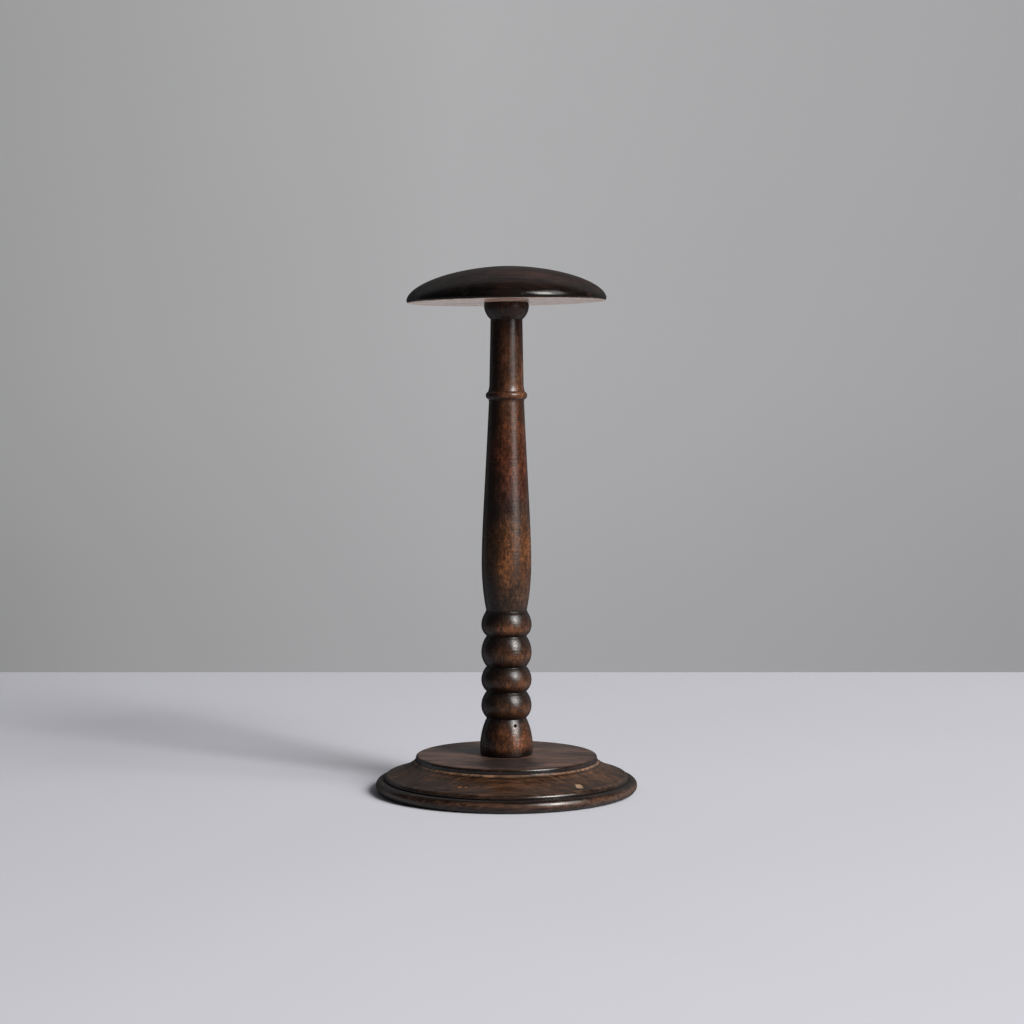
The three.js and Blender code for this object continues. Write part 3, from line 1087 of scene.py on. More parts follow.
    def _stain(self, wiring: Wiring, place: Socket, stretched: Socket, height: Socket,
               timber: bpy.types.Node) -> tuple[Socket, Socket]:
        """The stain before any wear: tones by height, cloudy patches, rings and figure, with the side away
        from the light painted darker, as shade.

        Args:
            wiring: The material's tree.
            place: The point on the piece.
            stretched: The same point, pressed together along the grain so that patterns run long.
            height: The height of that point on the outline, in millimetres.
            timber: The wood's own pattern.

        Returns:
            The colour, and how far rubbing can show.
        """
        low, high = self.tones[0].height, self.tones[-1].height
        cloud = wiring.noise(place, *self.CLOUDS)
        level = wiring.math("ADD", height, wiring.math("MULTIPLY_ADD", cloud, self.sway, -self.sway / 2))
        stops = [((tone.height - low) / (high - low), (*tint(*tone.colour)[:3], tone.rub))
                 for tone in self.tones]
        toned = wiring.ramp(wiring.spread(level, low, high), stops)
        flecks = wiring.math("MULTIPLY", toned.outputs["Alpha"], self.fleck)
        light = wiring.math("SUBTRACT", timber.outputs["Flecks"], self.EVEN_FLECK)
        # Painted shade: the side away from the light is darkened, and rubbed a little less
        side = self._lit_share(wiring, place)
        colour = toned.outputs["Color"]
        for share in (self.PATCHES.lay(wiring, stretched),
                      wiring.math("MULTIPLY_ADD", light, flecks, 1.0),
                      wiring.math("MULTIPLY_ADD", side, self.painted_side_shade, 1.0 - self.painted_side_shade),
                      wiring.swing(timber.outputs["Figure"], self.cloudiness),
                      wiring.math("MULTIPLY_ADD", timber.outputs["Rings"], -self.ring_depth, 1.0)):
            colour = wiring.scaled(colour, share)
        rub = wiring.math("MULTIPLY", toned.outputs["Alpha"], self.rub)
        far = wiring.math("SUBTRACT", side, 1.0)
        return colour, wiring.math("MULTIPLY_ADD", far, self.SIDE_RUB * self.painted_side_shade, rub)

    def _lit_share(self, wiring: Wiring, place: Socket) -> Socket:
        """1 on the side that faces the light, down to 0 on the far side, which is painted darker as shade,
        with a ragged edge.

        Args:
            wiring: The material's tree.
            place: The point on the piece.

        Returns:
            The share.
        """
        turn = math.radians(self.lit_side)
        outward = wiring.vector("NORMALIZE", wiring.vector("MULTIPLY", place, (1.0, 1.0, 0.0)))
        facing = wiring.vector("DOT_PRODUCT", outward, (math.cos(turn), math.sin(turn), 0.0))
        ragged = wiring.math("MULTIPLY_ADD", wiring.noise(place, *self.SIDE_NOISE), self.SIDE_RAGGED, facing)
        return wiring.fade(ragged, *self.SIDE_RANGE)

    def _marked(self, wiring: Wiring, place: Socket, colour: Socket, mark: Mark) -> Socket:
        """Paints one mark over the colour.

        Args:
            wiring: The material's tree.
            place: The point on the piece.
            colour: The colour so far.
            mark: The mark.

        Returns:
            The colour with the mark on it.
        """
        middle, reach = tuple(mark.knock.place), mark.knock.size * MM
        away = wiring.vector("LENGTH", wiring.vector("SUBTRACT", place, middle))
        ragged = wiring.math("MULTIPLY_ADD", wiring.noise(place, mark.RAGGED_SCALE / reach,
                                                          mark.RAGGED_DETAIL), reach * mark.RAGGED, away)
        share = wiring.fade(ragged, reach * mark.SOLID, reach * mark.GONE, mark.strength, 0.0)
        return wiring.blend(share, colour, tint(*mark.colour))


@dataclass(frozen=True)
class ZincFinish:
    """Bright zinc plate on steel, with a faint spangle and duller patches."""

    name: str = "bright zinc plate"
    colour: Colour = (205, 207, 210)
    dull: Colour = (150, 150, 146)
    roughness: float = 0.28
    smudge_size: float = 0.004
    smudge_shows: float = 0.6
    spangle_scale: float = 900.0
    spangle_dull: float = 0.14
    scratch_dull: float = 0.15
    bump_strength: float = 0.2
    bump_height: float = 0.00005

    SPANGLE = (0.2, 0.9)

    def material(self, effects: Effects) -> bpy.types.Material:
        """Builds the material with the shared handling marks.

        Args:
            effects: The shared effect groups.

        Returns:
            The finished material.
        """
        made, wiring, place = started(self.name)
        handling = effects.place(wiring, effects.handling, {"Vector": place, "Smudge size": self.smudge_size})
        cells = wiring.node("ShaderNodeTexVoronoi", {"Vector": place, "Scale": self.spangle_scale})
        spangle = wiring.fade(cells.outputs["Color"], *self.SPANGLE)
        smudged = wiring.math("MULTIPLY", handling.outputs["Smudge"], self.smudge_shows)
        shine = wiring.math("MULTIPLY_ADD", spangle, self.spangle_dull, self.roughness)
        shine = wiring.math("MULTIPLY_ADD", handling.outputs["Scratches"], self.scratch_dull, shine,
                            clamp=True)
        bump = wiring.node("ShaderNodeBump", {"Height": spangle, "Strength": self.bump_strength,
                                              "Distance": self.bump_height})
        shader = wiring.node("ShaderNodeBsdfPrincipled", {
            "Base Color": wiring.blend(smudged, tint(*self.colour), tint(*self.dull)), "Metallic": 1.0,
            "Roughness": shine, "Normal": bump.outputs[0]})
        wiring.show(shader.outputs[0])
        return made


@dataclass(frozen=True)
class FeltFinish:
    """Pressed wool felt with matted fibres and a little lint."""

    name: str = "dark brown felt"
    colour: Colour = (56, 45, 38)
    light: Colour = (92, 76, 64)
    lint: Colour = (150, 140, 128)
    lint_shows: float = 0.4
    lint_spacing: float = 0.002
    lint_size: float = 0.2
    sheen: float = 0.25
    bump_strength: float = 0.9
    bump_height: float = 0.0003

    MATTED = (1500.0, 5.0, 0.7, 1.6)
    LIGHT_FIBRES = (0.35, 0.7)
    ROUGHNESS = (0.2, 0.8, 0.86, 0.98)

    def material(self, effects: Effects) -> bpy.types.Material:
        """Builds the material with the shared specks as lint.

        Args:
            effects: The shared effect groups.

        Returns:
            The finished material.
        """
        made, wiring, place = started(self.name)
        matted = wiring.noise(place, *self.MATTED)
        lint = effects.place(wiring, effects.specks, {"Vector": place, "Spacing": self.lint_spacing,
                                                      "Size": self.lint_size})
        linted = wiring.math("MULTIPLY", lint.outputs["Dots"], self.lint_shows)
        colour = wiring.blend(wiring.fade(matted, *self.LIGHT_FIBRES), tint(*self.colour),
                              tint(*self.light))
        bump = wiring.node("ShaderNodeBump", {"Height": matted, "Strength": self.bump_strength,
                                              "Distance": self.bump_height})
        shader = wiring.node("ShaderNodeBsdfPrincipled", {
            "Base Color": wiring.blend(linted, colour, tint(*self.lint)),
            "Roughness": wiring.fade(matted, *self.ROUGHNESS), "Normal": bump.outputs[0],
            "Sheen Weight": self.sheen})
        wiring.show(shader.outputs[0])
        return made


# A pinhole in the post's foot, a chip and two scars on the base, and a dark patch on its flat in front of the
# post: painted reflection of the post and painted shade round its foot
PINHOLE = Knock(angle=-66.6, radius=14.0, height=43.0, size=1.1, depth=1.3)
CHIP = Knock(angle=-50.3, radius=69.6, height=12.4, size=4.1, depth=0.9)
SCARS = (Knock(angle=-114.5, radius=67.7, height=13.2, size=2.3, depth=0.3),
         Knock(angle=-111.3, radius=67.3, height=13.4, size=2.0, depth=0.3))
PAINTED_POST_REFLECTION = Knock(angle=-88.0, radius=36.0, height=23.0, size=36.0, depth=0.0)

# The stain up each bead: the share of its height, the colour, and how far rubbing can show
BEAD_SHADES = ((0.35, (66, 40, 23), 0.82), (0.68, (38, 24, 17), 0.45), (1.0, (18, 12, 9), 0.1))


def post_tones() -> tuple[Tone, ...]:
    """The stain on the post: darker in the top of each bead and lighter, with more rubbing, on its lower
    half, and painted contact shadow at the bottom of the foot.

    Returns:
        The tones, from the foot up.
    """
    # The two lowest tones darken the foot's lowest millimetres: painted contact shadow where the post stands
    # on the base
    tones = [Tone(20.0, (12, 8, 6), 0.0), Tone(25.0, (16, 10, 7), 0.0), Tone(29.5, (68, 39, 22), 0.9),
             Tone(37.0, (66, 38, 22), 0.9), Tone(43.0, (46, 28, 19), 0.6),
             Tone(BEADS_FROM, (20, 13, 10), 0.2)]
    foot = BEADS_FROM
    for height in BEAD_HEIGHTS:
        tones += [Tone(foot + share * height, colour, rub) for share, colour, rub in BEAD_SHADES]
        foot += height
    return (*tones, Tone(117.0, (40, 26, 18), 0.4), Tone(126.0, (54, 35, 22), 0.8),
            Tone(140.0, (75, 45, 25), 1.0), Tone(160.0, (80, 48, 26), 1.0), Tone(171.0, (56, 36, 24), 0.6),
            Tone(178.0, (40, 26, 20), 0.3), Tone(188.0, (52, 28, 19), 0.5), Tone(210.0, (66, 34, 21), 0.6),
            Tone(236.0, (58, 33, 20), 0.6), Tone(262.0, (56, 33, 20), 0.6), Tone(290.0, (48, 28, 18), 0.5),
            Tone(297.0, (44, 26, 17), 0.2), Tone(312.0, (48, 27, 18), 0.1))


@dataclass
class Head:
    """The domed head, with the socket and the bore for its insert nut beneath.

    Fullness is how square the dome's curve is, with 2 for an ellipse. Lean is in degrees, and sink is how
    far the leaning head is lowered.
    """

    radius: float = 62.5
    thickness: float = 22.5
    rim_round: float = 1.8
    fullness: float = 1.8
    underside: float = 307.5
    socket_radius: float = 8.2
    socket_depth: float = 5.3
    bore_radius: float = 6.2
    bore_depth: float = 10.3
    lean: float = 0.9
    sink: float = 0.01
    rim_steps: int = 6
    dome_steps: int = 60
    easing: float = 0.35
    spacing: float = 1.4
    segments: int = 256
    finish: WoodFinish = field(default_factory=lambda: WoodFinish(
        name="near-black walnut stain on the head", grain=Grain.ALONG_X,
        tones=(Tone(307.0, (10, 6, 5), 0.0), Tone(311.0, (12, 7, 6), 0.1), Tone(314.0, (22, 13, 10), 0.5),
               Tone(322.0, (34, 19, 15), 0.75), Tone(330.0, (36, 22, 17), 0.75)),
        rubbed=(72, 44, 36), worn=(66, 42, 30), glaze_colour=(10, 7, 6), rub=0.55, glaze=0.3,
        patch=0.010, heart=(0.004, 0.012, 0.02), ring_spacing=0.0065, ring_depth=0.55,
        # The head's side away from the light is painted darker, as shade
        fibre_width=0.0019, fibre_length=0.045, roughness=0.19, specular=0.18, sway=1.0, painted_side_shade=0.62,
        streak=5.0, lathe_marks=0.05, contrast=1.1, cloudiness=0.9, relief=0.3, matt_rim=0.5,
        # The pale underside is partly paler bare wood and partly painted reflection of the table, seen at a
        # grazing angle
        underside=(208, 174, 154)))

    def section(self) -> Section:
        """The outline, from the top of the bore out to the rim and over the dome.

        Returns:
            The section.
        """
        top = self.underside + self.thickness
        widest = self.underside + self.rim_round
        socket_top = self.underside + self.socket_depth
        bore_top = socket_top + self.bore_depth
        outline = Outline(0, bore_top).line(self.bore_radius, bore_top).line(self.bore_radius, socket_top)
        outline.line(self.socket_radius, socket_top).line(self.socket_radius, self.underside)
        outline.line(self.radius - self.rim_round, self.underside)
        outline.arc(self.radius, widest, QUARTER_RISE * self.rim_round, self.rim_steps)
        for step in range(1, self.dome_steps):
            angle = step / self.dome_steps * math.pi / 2
            outline.line(self.radius * math.cos(angle) ** (2 / self.fullness),
                         widest + (top - widest) * math.sin(angle) ** (2 / self.fullness))
        return outline.line(0, top).section(self.easing, self.spacing)

    def build(self, lathe: Lathe, effects: Effects) -> bpy.types.Object:
        """Turns the head, leans it as it sits on its post, and puts it in the CAD head's place.

        Args:
            lathe: What turns it.
            effects: The shared effect groups.

        Returns:
            The finished head.
        """
        piece = lathe.turn("turned_head", self.section(), self.segments, self.finish.material(effects))
        lean, pivot = math.radians(-self.lean), self.underside * MM
        for vert in piece.data.vertices:
            x, z = vert.co.x, vert.co.z - pivot
            vert.co.x = x * math.cos(lean) + z * math.sin(lean)
            vert.co.z = pivot - x * math.sin(lean) + z * math.cos(lean) - self.sink * MM
        piece.data.update()
        return seated(piece, "head_wood", "head")


@dataclass
class Post:
    """The turned post, from its bell foot to the collar under the head.

    A spigot is given by its radius and length, and a bore by its radius and the height where its straight
    part ends. The drill left a cone past two of them.
    """

    foot: float = 23.1
    foot_height: float = 23.4
    foot_radius: float = 16.65
    foot_crown: float = 5.0
    foot_edge: float = 0.7
    groove_radius: float = 12.45
    bead_radius: float = 15.85
    bead_heights: tuple[float, ...] = BEAD_HEIGHTS
    bead_crown_share: float = 0.46
    top_bead_shoulder: float = 13.4
    fillet_height: float = 1.2
    fillet_radius: float = 13.3
    baluster_height: float = 131.8
    waist_radius: float = 12.7
    waist_spread: float = 1.54
    waist_reach: float = 7.0
    belly_radius: float = 15.62
    belly_height: float = 30.0
    belly_reach_down: float = 12.2
    belly_reach_up: float = 20.0
    shoulder_radius: float = 11.0
    shoulder_spread: float = 2.63
    shoulder_reach: float = 56.0
    seat_fillet: float = 0.9
    ring_height: float = 5.0
    ring_radius: float = 13.0
    ring_undercut: float = 0.3
    neck_height: float = 45.0
    neck_foot_radius: float = 11.5
    neck_cove: float = 3.8
    neck_cove_depth: float = 0.12
    neck_lower_radius: float = 10.75
    neck_upper_radius: float = 9.98
    collar_height: float = 10.5
    collar_radius: float = 14.05
    collar_top_radius: float = 13.75
    collar_crown_drop: float = 1.9
    collar_rise: float = 1.05
    foot_spigot: tuple[float, float] = (11.0, 5.0)
    top_spigot: tuple[float, float] = (8.0, 5.0)
    insert_bore: tuple[float, float] = (6.2, 38.4)
    bolt_bore: tuple[float, float] = (4.2, 42.7)
    stud_bore: tuple[float, float] = (4.2, 280.8)
    bolt_bore_cone: float = 2.0
    stud_bore_cone: float = 6.3
    bead_steps: int = 12
    baluster_steps: tuple[int, int] = (20, 40)
    ring_steps: int = 14
    neck_cove_steps: int = 6
    collar_steps: int = 12
    easing: float = 0.3
    spacing: float = 1.1
    segments: int = 144
    finish: WoodFinish = field(default_factory=lambda: WoodFinish(
        name="dark walnut stain on the post", grain=Grain.UPRIGHT, tones=post_tones(),
        rubbed=(94, 57, 31), worn=(116, 84, 60), glaze_colour=(14, 9, 7), rub=0.52, glaze=0.9,
        patch=0.008, heart=(0.013, 0.006, 0.0), ring_spacing=0.0038, ring_depth=0.3,
        # The post's side away from the light is painted darker, as shade
        fibre_width=0.0012, fibre_length=0.0032, roughness=0.27, specular=0.24, sway=5.0, painted_side_shade=0.66,
        lit_side=-61.0, streak=1.6, lathe_marks=0.9, banding=0.5,
        fleck=0.75, contrast=1.2, relief=0.55, matt_rim=0.6,
        # The pinhole's near-black colour is painted shade inside the hole
        marks=(Mark(PINHOLE, (8, 7, 10)),)))

    def section(self) -> Section:
        """The outline, from the bore in the foot, up the outside and down the bore on top.

        Returns:
            The section.
        """
        foot, spigot_end = self.foot, self.foot - self.foot_spigot[1]
        bore, bore_top = self.insert_bore
        outline = Outline(0, self.bolt_bore[1] + self.bolt_bore_cone).line(*self.bolt_bore)
        outline.line(self.bolt_bore[0], bore_top)
        outline.line(bore, bore_top).line(bore, spigot_end).line(self.foot_spigot[0], spigot_end)
        outline.line(self.foot_spigot[0], foot)

        height, depth = self.foot_height - self.foot_crown, self.foot_radius - self.groove_radius
        bend = (height**2 + depth**2) / (2 * depth)
        edge_top = self.foot_crown - self.foot_edge
        edge = self.foot_radius - bend + math.sqrt(bend**2 - edge_top**2)
        groove = foot + self.foot_height
        outline.line(edge - self.foot_edge, foot).line(edge, foot + self.foot_edge)
        outline.swell((self.foot_radius, foot + self.foot_crown), (self.groove_radius, groove),
                      self.bead_steps)

        for number, bead in enumerate(self.bead_heights, start=1):
            end = self.top_bead_shoulder if number == len(self.bead_heights) else self.groove_radius
            outline.swell((self.bead_radius, groove + self.bead_crown_share * bead), (end, groove + bead),
                          self.bead_steps)
            groove += bead

        waist = groove + self.fillet_height
        belly, shoulder = waist + self.belly_height, waist + self.baluster_height
        outline.line(self.waist_radius, groove).line(self.fillet_radius, groove + self.fillet_height / 3)
        outline.line(self.fillet_radius, waist - self.fillet_height / 4).line(self.waist_radius, waist)
        outline.curve((self.waist_radius + self.waist_spread, waist + self.waist_reach),
                      (self.belly_radius, belly - self.belly_reach_down), (self.belly_radius, belly),
                      self.baluster_steps[0])
        outline.curve((self.belly_radius, belly + self.belly_reach_up),
                      (self.shoulder_radius + self.shoulder_spread, shoulder - self.shoulder_reach),
                      (self.shoulder_radius, shoulder), self.baluster_steps[1])

        seat = self.neck_foot_radius - self.ring_undercut
        ring_foot = shoulder + self.seat_fillet
        neck_foot = ring_foot + self.ring_height
        collar_foot = neck_foot + self.neck_height
        top = collar_foot + self.collar_height
        outline.line(seat, shoulder).line(seat, ring_foot)
        outline.arc(seat, neck_foot, self.ring_radius - seat, self.ring_steps)
        outline.line(self.neck_foot_radius, neck_foot)
        outline.arc(self.neck_lower_radius, neck_foot + self.neck_cove, -self.neck_cove_depth,
                    self.neck_cove_steps)
        outline.line(self.neck_upper_radius, collar_foot)
        outline.arc(self.collar_radius, top - self.collar_crown_drop, self.collar_rise,
                    self.collar_steps)
        outline.line(self.collar_top_radius, top)
        outline.line(self.top_spigot[0], top).line(self.top_spigot[0], top + self.top_spigot[1])
        outline.line(self.stud_bore[0], top + self.top_spigot[1]).line(*self.stud_bore)
        outline.line(0, self.stud_bore[1] - self.stud_bore_cone)
        return outline.section(self.easing, self.spacing)

    def build(self, lathe: Lathe, effects: Effects) -> bpy.types.Object:
        """Turns the post, presses in its pinhole and puts it in the CAD post's place.

        Args:
            lathe: What turns it.
            effects: The shared effect groups.

        Returns:
            The finished post.
        """
        piece = lathe.turn("turned_post", self.section(), self.segments, self.finish.material(effects))
        PINHOLE.press(piece.data)
        return seated(piece, "post_wood", "post")


@dataclass
class Base:
    """The moulded base, from its round toe to the flat table that the post stands on.

    The counterbore and the socket are given by radius and depth. The lip's crown is a share of its run.
    The cove's two handles are shares of its run and of its drop, from the lip and from the ledge.
    """

    underside: float = 1.0
    thickness: float = 22.0
    radius: float = 82.5
    toe_round: float = 3.7
    toe_flat: float = 0.5
    lip_setback: float = 1.9
    quirk: float = 0.7
    lip_face: float = 1.65
    lip_run: float = 3.0
    lip_rise: float = 2.0
    band_height: float = 3.5
    ledge: float = 0.8
    lip_crown: float = 0.2
    cove_from: tuple[float, float] = (0.22, 0.06)
    cove_to: tuple[float, float] = (0.07, 0.3)
    table_radius: float = 57.2
    table_edge: float = 1.5
    bolt_hole: float = 4.5
    counterbore: tuple[float, float] = (12.0, 6.5)
    socket: tuple[float, float] = (11.2, 5.2)
    toe_steps: int = 10
    lip_steps: int = 8
    cove_steps: int = 20
    table_edge_steps: int = 6
    easing: float = 0.3
    spacing: float = 1.3
    segments: int = 288
    finish: WoodFinish = field(default_factory=lambda: WoodFinish(
        name="dark walnut stain on the base", grain=Grain.ALONG_X,
        # Painted light in these tones: the dark at the toe's foot is painted contact shade, the dark at 7.5
        # is painted shade in the quirk under the lip, the pale line from 18.9 to 19.5 is partly rubbed wear
        # and partly a painted highlight on the ledge's edge, and the dark from 19.7 to 22.2 is painted shade
        # on the upright band under the table's edge
        tones=(Tone(0.5, (14, 9, 7), 0.0), Tone(2.2, (30, 19, 14), 0.3), Tone(5.0, (50, 32, 22), 0.7),
               Tone(7.5, (19, 12, 9), 0.0), Tone(9.5, (32, 21, 15), 0.3), Tone(11.4, (46, 29, 18), 0.6),
               Tone(15.0, (53, 33, 20), 1.0), Tone(18.2, (50, 32, 20), 1.0), Tone(18.9, (98, 74, 58), 1.1),
               Tone(19.5, (98, 74, 58), 1.1), Tone(19.7, (22, 13, 10), 0.0), Tone(22.2, (25, 15, 11), 0.1),
               Tone(22.8, (40, 27, 21), 0.3), Tone(23.0, (80, 57, 47), 0.4)),
        rubbed=(66, 46, 35), worn=(128, 100, 78), glaze_colour=(12, 8, 6), rub=0.60, glaze=0.85,
        patch=0.003, heart=(0.0, 0.02, 0.03), ring_spacing=0.0045, ring_depth=0.45,
        # The base's side away from the light is painted a little darker, as shade
        fibre_width=0.0012, fibre_length=0.045, roughness=0.19, specular=0.30, sway=0.4, painted_side_shade=0.15,
        streak=10.0, lathe_marks=0.05, banding=1.3, contrast=1.1, cloudiness=0.6, relief=0.15, matt_rim=0.6,
        flat_rough=0.38, flat_from=22.3, marks=(
            # The near-black patch on the flat is painted reflection of the post and painted shade round its
            # foot
            Mark(PAINTED_POST_REFLECTION, (18, 11, 8), 0.85), Mark(CHIP, (120, 101, 82)),
            Mark(SCARS[0], (104, 70, 46), 0.7), Mark(SCARS[1], (94, 64, 44), 0.6))))

    def section(self) -> Section:
        """The outline, from the counterbore, round the outside and into the socket for the post.

        Returns:
            The section.
        """
        under, table = self.underside, self.underside + self.thickness
        bore, bore_depth = self.counterbore
        socket, socket_depth = self.socket
        toe_centre = self.radius - self.toe_round
        toe_foot = toe_centre + math.sqrt(self.toe_round**2 - (self.toe_round - self.toe_flat) ** 2)
        crown = under + self.toe_round - self.toe_flat
        lip = toe_centre - self.lip_setback
        toe_top = crown + math.sqrt(self.toe_round**2 - self.lip_setback**2)
        lip_bottom, lip_inner = toe_top + self.lip_face, lip - self.lip_run
        lip_top, cove_top = lip_bottom + self.lip_rise, table - self.band_height
        cove_radius = self.table_radius + self.ledge
        run, drop = lip_inner - cove_radius, cove_top - lip_top
        outline = Outline(self.bolt_hole, under + bore_depth).line(bore, under + bore_depth)
        outline.line(bore, under).line(toe_foot, under)
        outline.swell((self.radius, crown), (lip, toe_top), self.toe_steps)
        outline.line(lip - self.quirk, toe_top + self.quirk / 2).line(lip, toe_top + self.quirk)
        outline.line(lip, lip_bottom)
        outline.arc(lip_inner, lip_top, self.lip_crown * self.lip_run, self.lip_steps)
        outline.curve((lip_inner - self.cove_from[0] * run, lip_top + self.cove_from[1] * drop),
                      (cove_radius + self.cove_to[0] * run, cove_top - self.cove_to[1] * drop),
                      (cove_radius, cove_top), self.cove_steps)
        outline.line(self.table_radius, cove_top).line(self.table_radius, table - self.table_edge)
        outline.arc(self.table_radius - self.table_edge, table, QUARTER_RISE * self.table_edge,
                    self.table_edge_steps)
        outline.line(socket, table).line(socket, table - socket_depth)
        outline.line(self.bolt_hole, table - socket_depth).line(self.bolt_hole, under + bore_depth)
        return outline.section(self.easing, self.spacing)

    def build(self, lathe: Lathe, effects: Effects) -> bpy.types.Object:
        """Turns the base, presses in its chip and scars and puts it in the CAD base's place.

        Args:
            lathe: What turns it.
            effects: The shared effect groups.

        Returns:
            The finished base.
        """
        piece = lathe.turn("turned_base", self.section(), self.segments, self.finish.material(effects))
        for knock in (CHIP, *SCARS):
            knock.press(piece.data)
        return seated(piece, "base_wood", "base")


def seated(piece: bpy.types.Object, slot: str, *nodes: str) -> bpy.types.Object:
    """Lets a piece ride on the stand in the place of CAD nodes.

    Args:
        piece: The finished piece.
        slot: Not used.
        *nodes: The CAD nodes that it stands for.

    Returns:
        The same piece.
    """
    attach(piece, "root")
    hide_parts(*nodes)
    return piece


@dataclass
class FeltPads:
    """The round felt pads under the base, spaced evenly on a circle."""

    count: int = 4
    radius: float = 9.0
    thickness: float = 1.9
    circle: float = 64.007
    easing: float = 0.5
    spacing: float = 0.8
    segments: int = 48
    finish: FeltFinish = FeltFinish()

    def tree(self) -> bpy.types.NodeTree:
        """Geometry nodes that set copies of one pad on a circle, the first half a step round.

        Returns:
            The tree.
        """
        plan = SocketPlan([("Pad", "NodeSocketGeometry", None), ("Count", "NodeSocketInt", 4),
                           ("Circle", "NodeSocketFloat", 0.06), ("Finish", "NodeSocketMaterial", None)],
                          [("Pads", "NodeSocketGeometry")])
        wiring, given, result = group_tree("pads round a circle", "GeometryNodeTree", plan)
        circle = wiring.node("GeometryNodeMeshCircle", {"Vertices": given.outputs["Count"],
                                                        "Radius": given.outputs["Circle"]})
        step = wiring.math("DIVIDE", math.pi, given.outputs["Count"])
        turn = wiring.node("ShaderNodeCombineXYZ", {"Z": step})
        turned = wiring.node("GeometryNodeTransform", {"Geometry": circle.outputs[0],
                                                       "Rotation": turn.outputs[0]})
        copies = wiring.node("GeometryNodeInstanceOnPoints", {"Points": turned.outputs[0],
                                                              "Instance": given.outputs["Pad"]})
        real = wiring.node("GeometryNodeRealizeInstances", {"Geometry": copies.outputs[0]})
        dressed = wiring.node("GeometryNodeSetMaterial", {"Geometry": real.outputs[0],
                                                          "Material": given.outputs["Finish"]})
        wiring.feed(result.inputs["Pads"], dressed.outputs[0])
        return wiring.tree

    def build(self, lathe: Lathe, effects: Effects) -> bpy.types.Object:
        """Makes one pad with soft edges, and then the ring of them.

        Args:
            lathe: What turns the pad.
            effects: The shared effect groups.

        Returns:
            The four pads as one piece.
        """
        outline = Outline(0, 0).line(self.radius, 0).line(self.radius, self.thickness).line(0, self.thickness)
        felt = self.finish.material(effects)
        pads = lathe.turn("felt_pads", outline.section(self.easing, self.spacing), self.segments, felt)
        baked(pads, self.tree(), {"Count": self.count, "Circle": self.circle * MM, "Finish": felt})
        return seated(pads, "felt", *(f"felt_pad_{number}" for number in range(1, self.count + 1)))


@dataclass
class Fittings:
    """The steel fittings inside, which keep their solids and get their plating."""

    nodes: tuple[str, ...] = ("head_insert_nut", "hanger_bolt", "foot_insert_nut", "base_washer", "base_bolt")
    finish: ZincFinish = ZincFinish()

    def dress(self, effects: Effects) -> None:
        """Gives each fitting its finish.

        Args:
            effects: The shared effect groups.
        """
        zinc = self.finish.material(effects)
        for name in self.nodes:
            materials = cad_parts[name].data.materials
            materials.clear()
            materials.append(zinc)


@dataclass(frozen=True)
class Softbox:
    """A rectangular lamp with a soft edge to its shadows, aimed at the stand.

    Azimuth is in degrees round the stand from the camera's side towards +X, and elevation is in degrees
    above the table.
    """

    name: str
    azimuth: float
    elevation: float
    distance: float
    width: float
    height: float
    power: float
    colour: Colour = (255, 253, 250)

    def build(self, target: Vector) -> bpy.types.Object:
        """Hangs the lamp and turns it to the target.

        Args:
            target: What it is aimed at, in metres.

        Returns:
            The lamp.
        """
        turn, lift = math.radians(self.azimuth), math.radians(self.elevation)
        away = Vector((math.sin(turn) * math.cos(lift), -math.cos(turn) * math.cos(lift), math.sin(lift)))
        light = bpy.data.lights.new(self.name, "AREA")
        light.shape = "RECTANGLE"
        light.size, light.size_y = self.width, self.height
        light.energy = self.power
        light.color = tint(*self.colour)[:3]
        lamp = in_scene(self.name, light)
        lamp.location = target + away * self.distance
        lamp.rotation_euler = (-away).to_track_quat("-Z", "Y").to_euler()
        return lamp


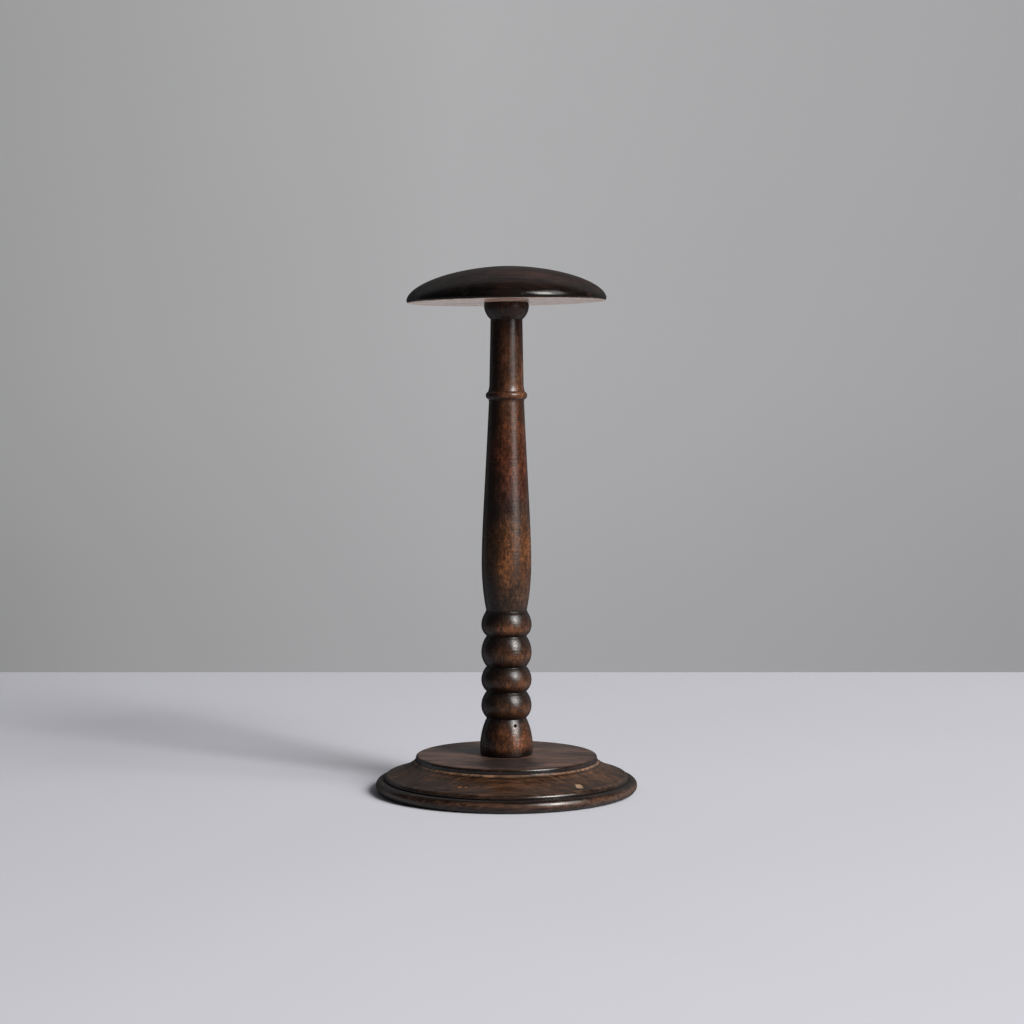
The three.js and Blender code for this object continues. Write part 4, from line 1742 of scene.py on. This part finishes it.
@dataclass
class Studio:
    """The pale table and wall, the lamps and the camera.

    Sizes and places are in metres, the lens and its sensor in millimetres and the pitch in degrees down.
    """

    # The table and the wall are painted darker towards their ends, as shade where the light falls off
    table_colours: tuple[Colour, ...] = ((168, 169, 176), (173, 174, 181), (171, 172, 179))
    wall_colours: tuple[Colour, ...] = ((131, 132, 133), (138, 139, 141), (122, 123, 125))
    half_width: float = 1.2
    front: float = -0.8
    back: float = 0.592
    wall_half_width: float = 0.8
    wall_height: float = 1.3
    eye: tuple[float, float, float] = (0.0, -1.391, 0.2516)
    pitch: float = 3.10
    lens: float = 77.98
    sensor: float = 36.0
    shift: float = 0.0054
    nearest: float = 0.01
    lamps_aim: tuple[float, float, float] = (0.0, 0.0, 0.12)
    lamps: tuple[Softbox, ...] = (
        Softbox("key softbox", 46.0, 30.0, 5.4, 1.5, 2.4, 375.0),
        Softbox("broad scrim", 52.0, 35.0, 5.6, 3.6, 3.4, 320.0),
        Softbox("low softbox", 48.0, 8.0, 5.4, 2.4, 1.7, 75.0))
    room_seen: Colour = (168, 168, 170)
    room_light: Colour = (230, 234, 240)
    room_strength: float = 0.11

    # Plain surfaces: faint clouds, how the colour runs across in metres, and how a wall dims at its foot; the
    # run across and the dimming are painted shade where the light falls off
    CLOUDS = Cloud(3.0, 0.3, 0.7)
    CLOUDS_DARKEN = 0.015
    RUN = 0.45
    MIDDLE = 0.45
    DIM_FOOT = 0.09
    DIM_HEIGHT = 0.30
    MATT = 0.9

    def build(self) -> None:
        """Builds the table, the wall, the lamps, the room and the camera, and sets plain colours."""
        side, wall_side = self.half_width, self.wall_half_width
        self._plane("table", [(-side, self.front, 0), (side, self.front, 0),
                              (side, self.back, 0), (-side, self.back, 0)],
                    self._plain("pale table", self.table_colours))
        self._plane("wall", [(-wall_side, self.back, 0), (wall_side, self.back, 0),
                             (wall_side, self.back, self.wall_height),
                             (-wall_side, self.back, self.wall_height)],
                    self._one_sided("pale wall", self.wall_colours))
        for lamp in self.lamps:
            lamp.build(Vector(self.lamps_aim))
        self._surroundings()
        self._camera()
        bpy.context.scene.view_settings.view_transform = "Standard"

    def _plane(self, name: str, corners: list[tuple], material: bpy.types.Material) -> None:
        """One flat rectangle.

        Args:
            name: Its name.
            corners: Its corners in metres, in order.
            material: Its material.
        """
        mesh = bpy.data.meshes.new(name)
        mesh.from_pydata(corners, [], [(0, 1, 2, 3)])
        mesh.materials.append(material)
        in_scene(name, mesh)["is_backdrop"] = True

    def _plain(self, name: str, colours: tuple[Colour, ...], dim_foot: float = 0.0) -> bpy.types.Material:
        """A matt surface with the faintest unevenness, its colours running from left to right as painted
        shade where the light falls off.

        Args:
            name: The material's name.
            colours: The colours at the left, in the middle and at the right.
            dim_foot: How much darker it is painted at its foot, as shade.

        Returns:
            The material.
        """
        made, wiring, place = started(name)
        parts = wiring.node("ShaderNodeSeparateXYZ", {0: place})
        across = wiring.spread(parts.outputs["X"], -self.RUN, self.RUN)
        stops = [(at, tint(*colour)) for at, colour in zip((0.0, self.MIDDLE, 1.0), colours)]
        share = wiring.math("MULTIPLY_ADD", self.CLOUDS.lay(wiring, place), -self.CLOUDS_DARKEN, 1.0)
        if dim_foot:
            dim = wiring.fade(parts.outputs["Z"], 0.0, self.DIM_HEIGHT, -dim_foot, 0.0)
            share = wiring.math("ADD", share, dim)
        shader = wiring.node("ShaderNodeBsdfPrincipled", {
            "Base Color": wiring.scaled(wiring.ramp(across, stops).outputs["Color"], share),
            "Roughness": self.MATT, "Specular IOR Level": 0.0})
        wiring.show(shader.outputs[0])
        return made

    def _one_sided(self, name: str, colours: tuple[Colour, ...]) -> bpy.types.Material:
        """A wall that is seen from the front only, so that a camera behind it looks through.

        Args:
            name: The material's name.
            colours: The colours at the left, in the middle and at the right.

        Returns:
            The material.
        """
        made = self._plain(name, colours, dim_foot=self.DIM_FOOT)
        wiring = Wiring(made.node_tree)
        out = next(node for node in made.node_tree.nodes if node.type == "OUTPUT_MATERIAL")
        shader = out.inputs["Surface"].links[0].from_socket
        clear = wiring.node("ShaderNodeBsdfTransparent")
        behind = wiring.node("ShaderNodeNewGeometry").outputs["Backfacing"]
        mixed = wiring.node("ShaderNodeMixShader", {0: behind, 1: shader, 2: clear.outputs[0]})
        wiring.feed(out.inputs["Surface"], mixed.outputs[0])
        return made

    def _surroundings(self) -> None:
        """A pale grey room: plain where the camera sees it, and dim as a light."""
        world = bpy.data.worlds.new("room")
        bpy.context.scene.world = world
        world.use_nodes = True
        world.node_tree.nodes.clear()
        wiring = Wiring(world.node_tree)
        dim, plain = (wiring.node("ShaderNodeBackground", {"Color": tint(*colour), "Strength": strength})
                      for colour, strength in ((self.room_light, self.room_strength), (self.room_seen, 1.0)))
        direct = wiring.node("ShaderNodeLightPath").outputs["Is Camera Ray"]
        mixed = wiring.node("ShaderNodeMixShader", {0: direct, 1: dim.outputs[0], 2: plain.outputs[0]})
        wiring.show(mixed.outputs[0], "ShaderNodeOutputWorld")

    def _camera(self) -> None:
        """The camera, level with the upper part of the post and tipped down a little."""
        camera = bpy.data.cameras.new("camera")
        camera.lens = self.lens
        camera.sensor_width = self.sensor
        camera.shift_x = self.shift
        camera.clip_start = self.nearest
        item = in_scene("camera", camera)
        item.location = self.eye
        item.rotation_euler = (math.radians(90 - self.pitch), 0, 0)
        bpy.context.scene.camera = item


def as_lists(box: object) -> object:
    """Bounds as plain lists of numbers.

    Args:
        box: The bounds, a number or lists of them.

    Returns:
        The same as plain lists and numbers.
    """
    if isinstance(box, (int, float)):
        return float(box)
    return [as_lists(part) for part in box]


def main() -> None:
    """Builds the stand and its studio."""
    logging.basicConfig(level=logging.INFO, format="%(message)s")
    loaded = as_lists(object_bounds())
    effects, lathe = Effects(), Lathe()
    for piece in (Base(), Post(), Head(), FeltPads()):
        made = piece.build(lathe, effects)
        log.info("%s: %d faces", made.name, len(made.data.polygons))
    fittings = Fittings()
    fittings.dress(effects)
    log.info("fittings: %d dressed", len(fittings.nodes))
    studio = Studio()
    studio.build()
    log.info("studio: %d lamps", len(studio.lamps))
    {"loaded": loaded, "finished": as_lists(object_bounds())}


if __name__ == "__main__":
    main()
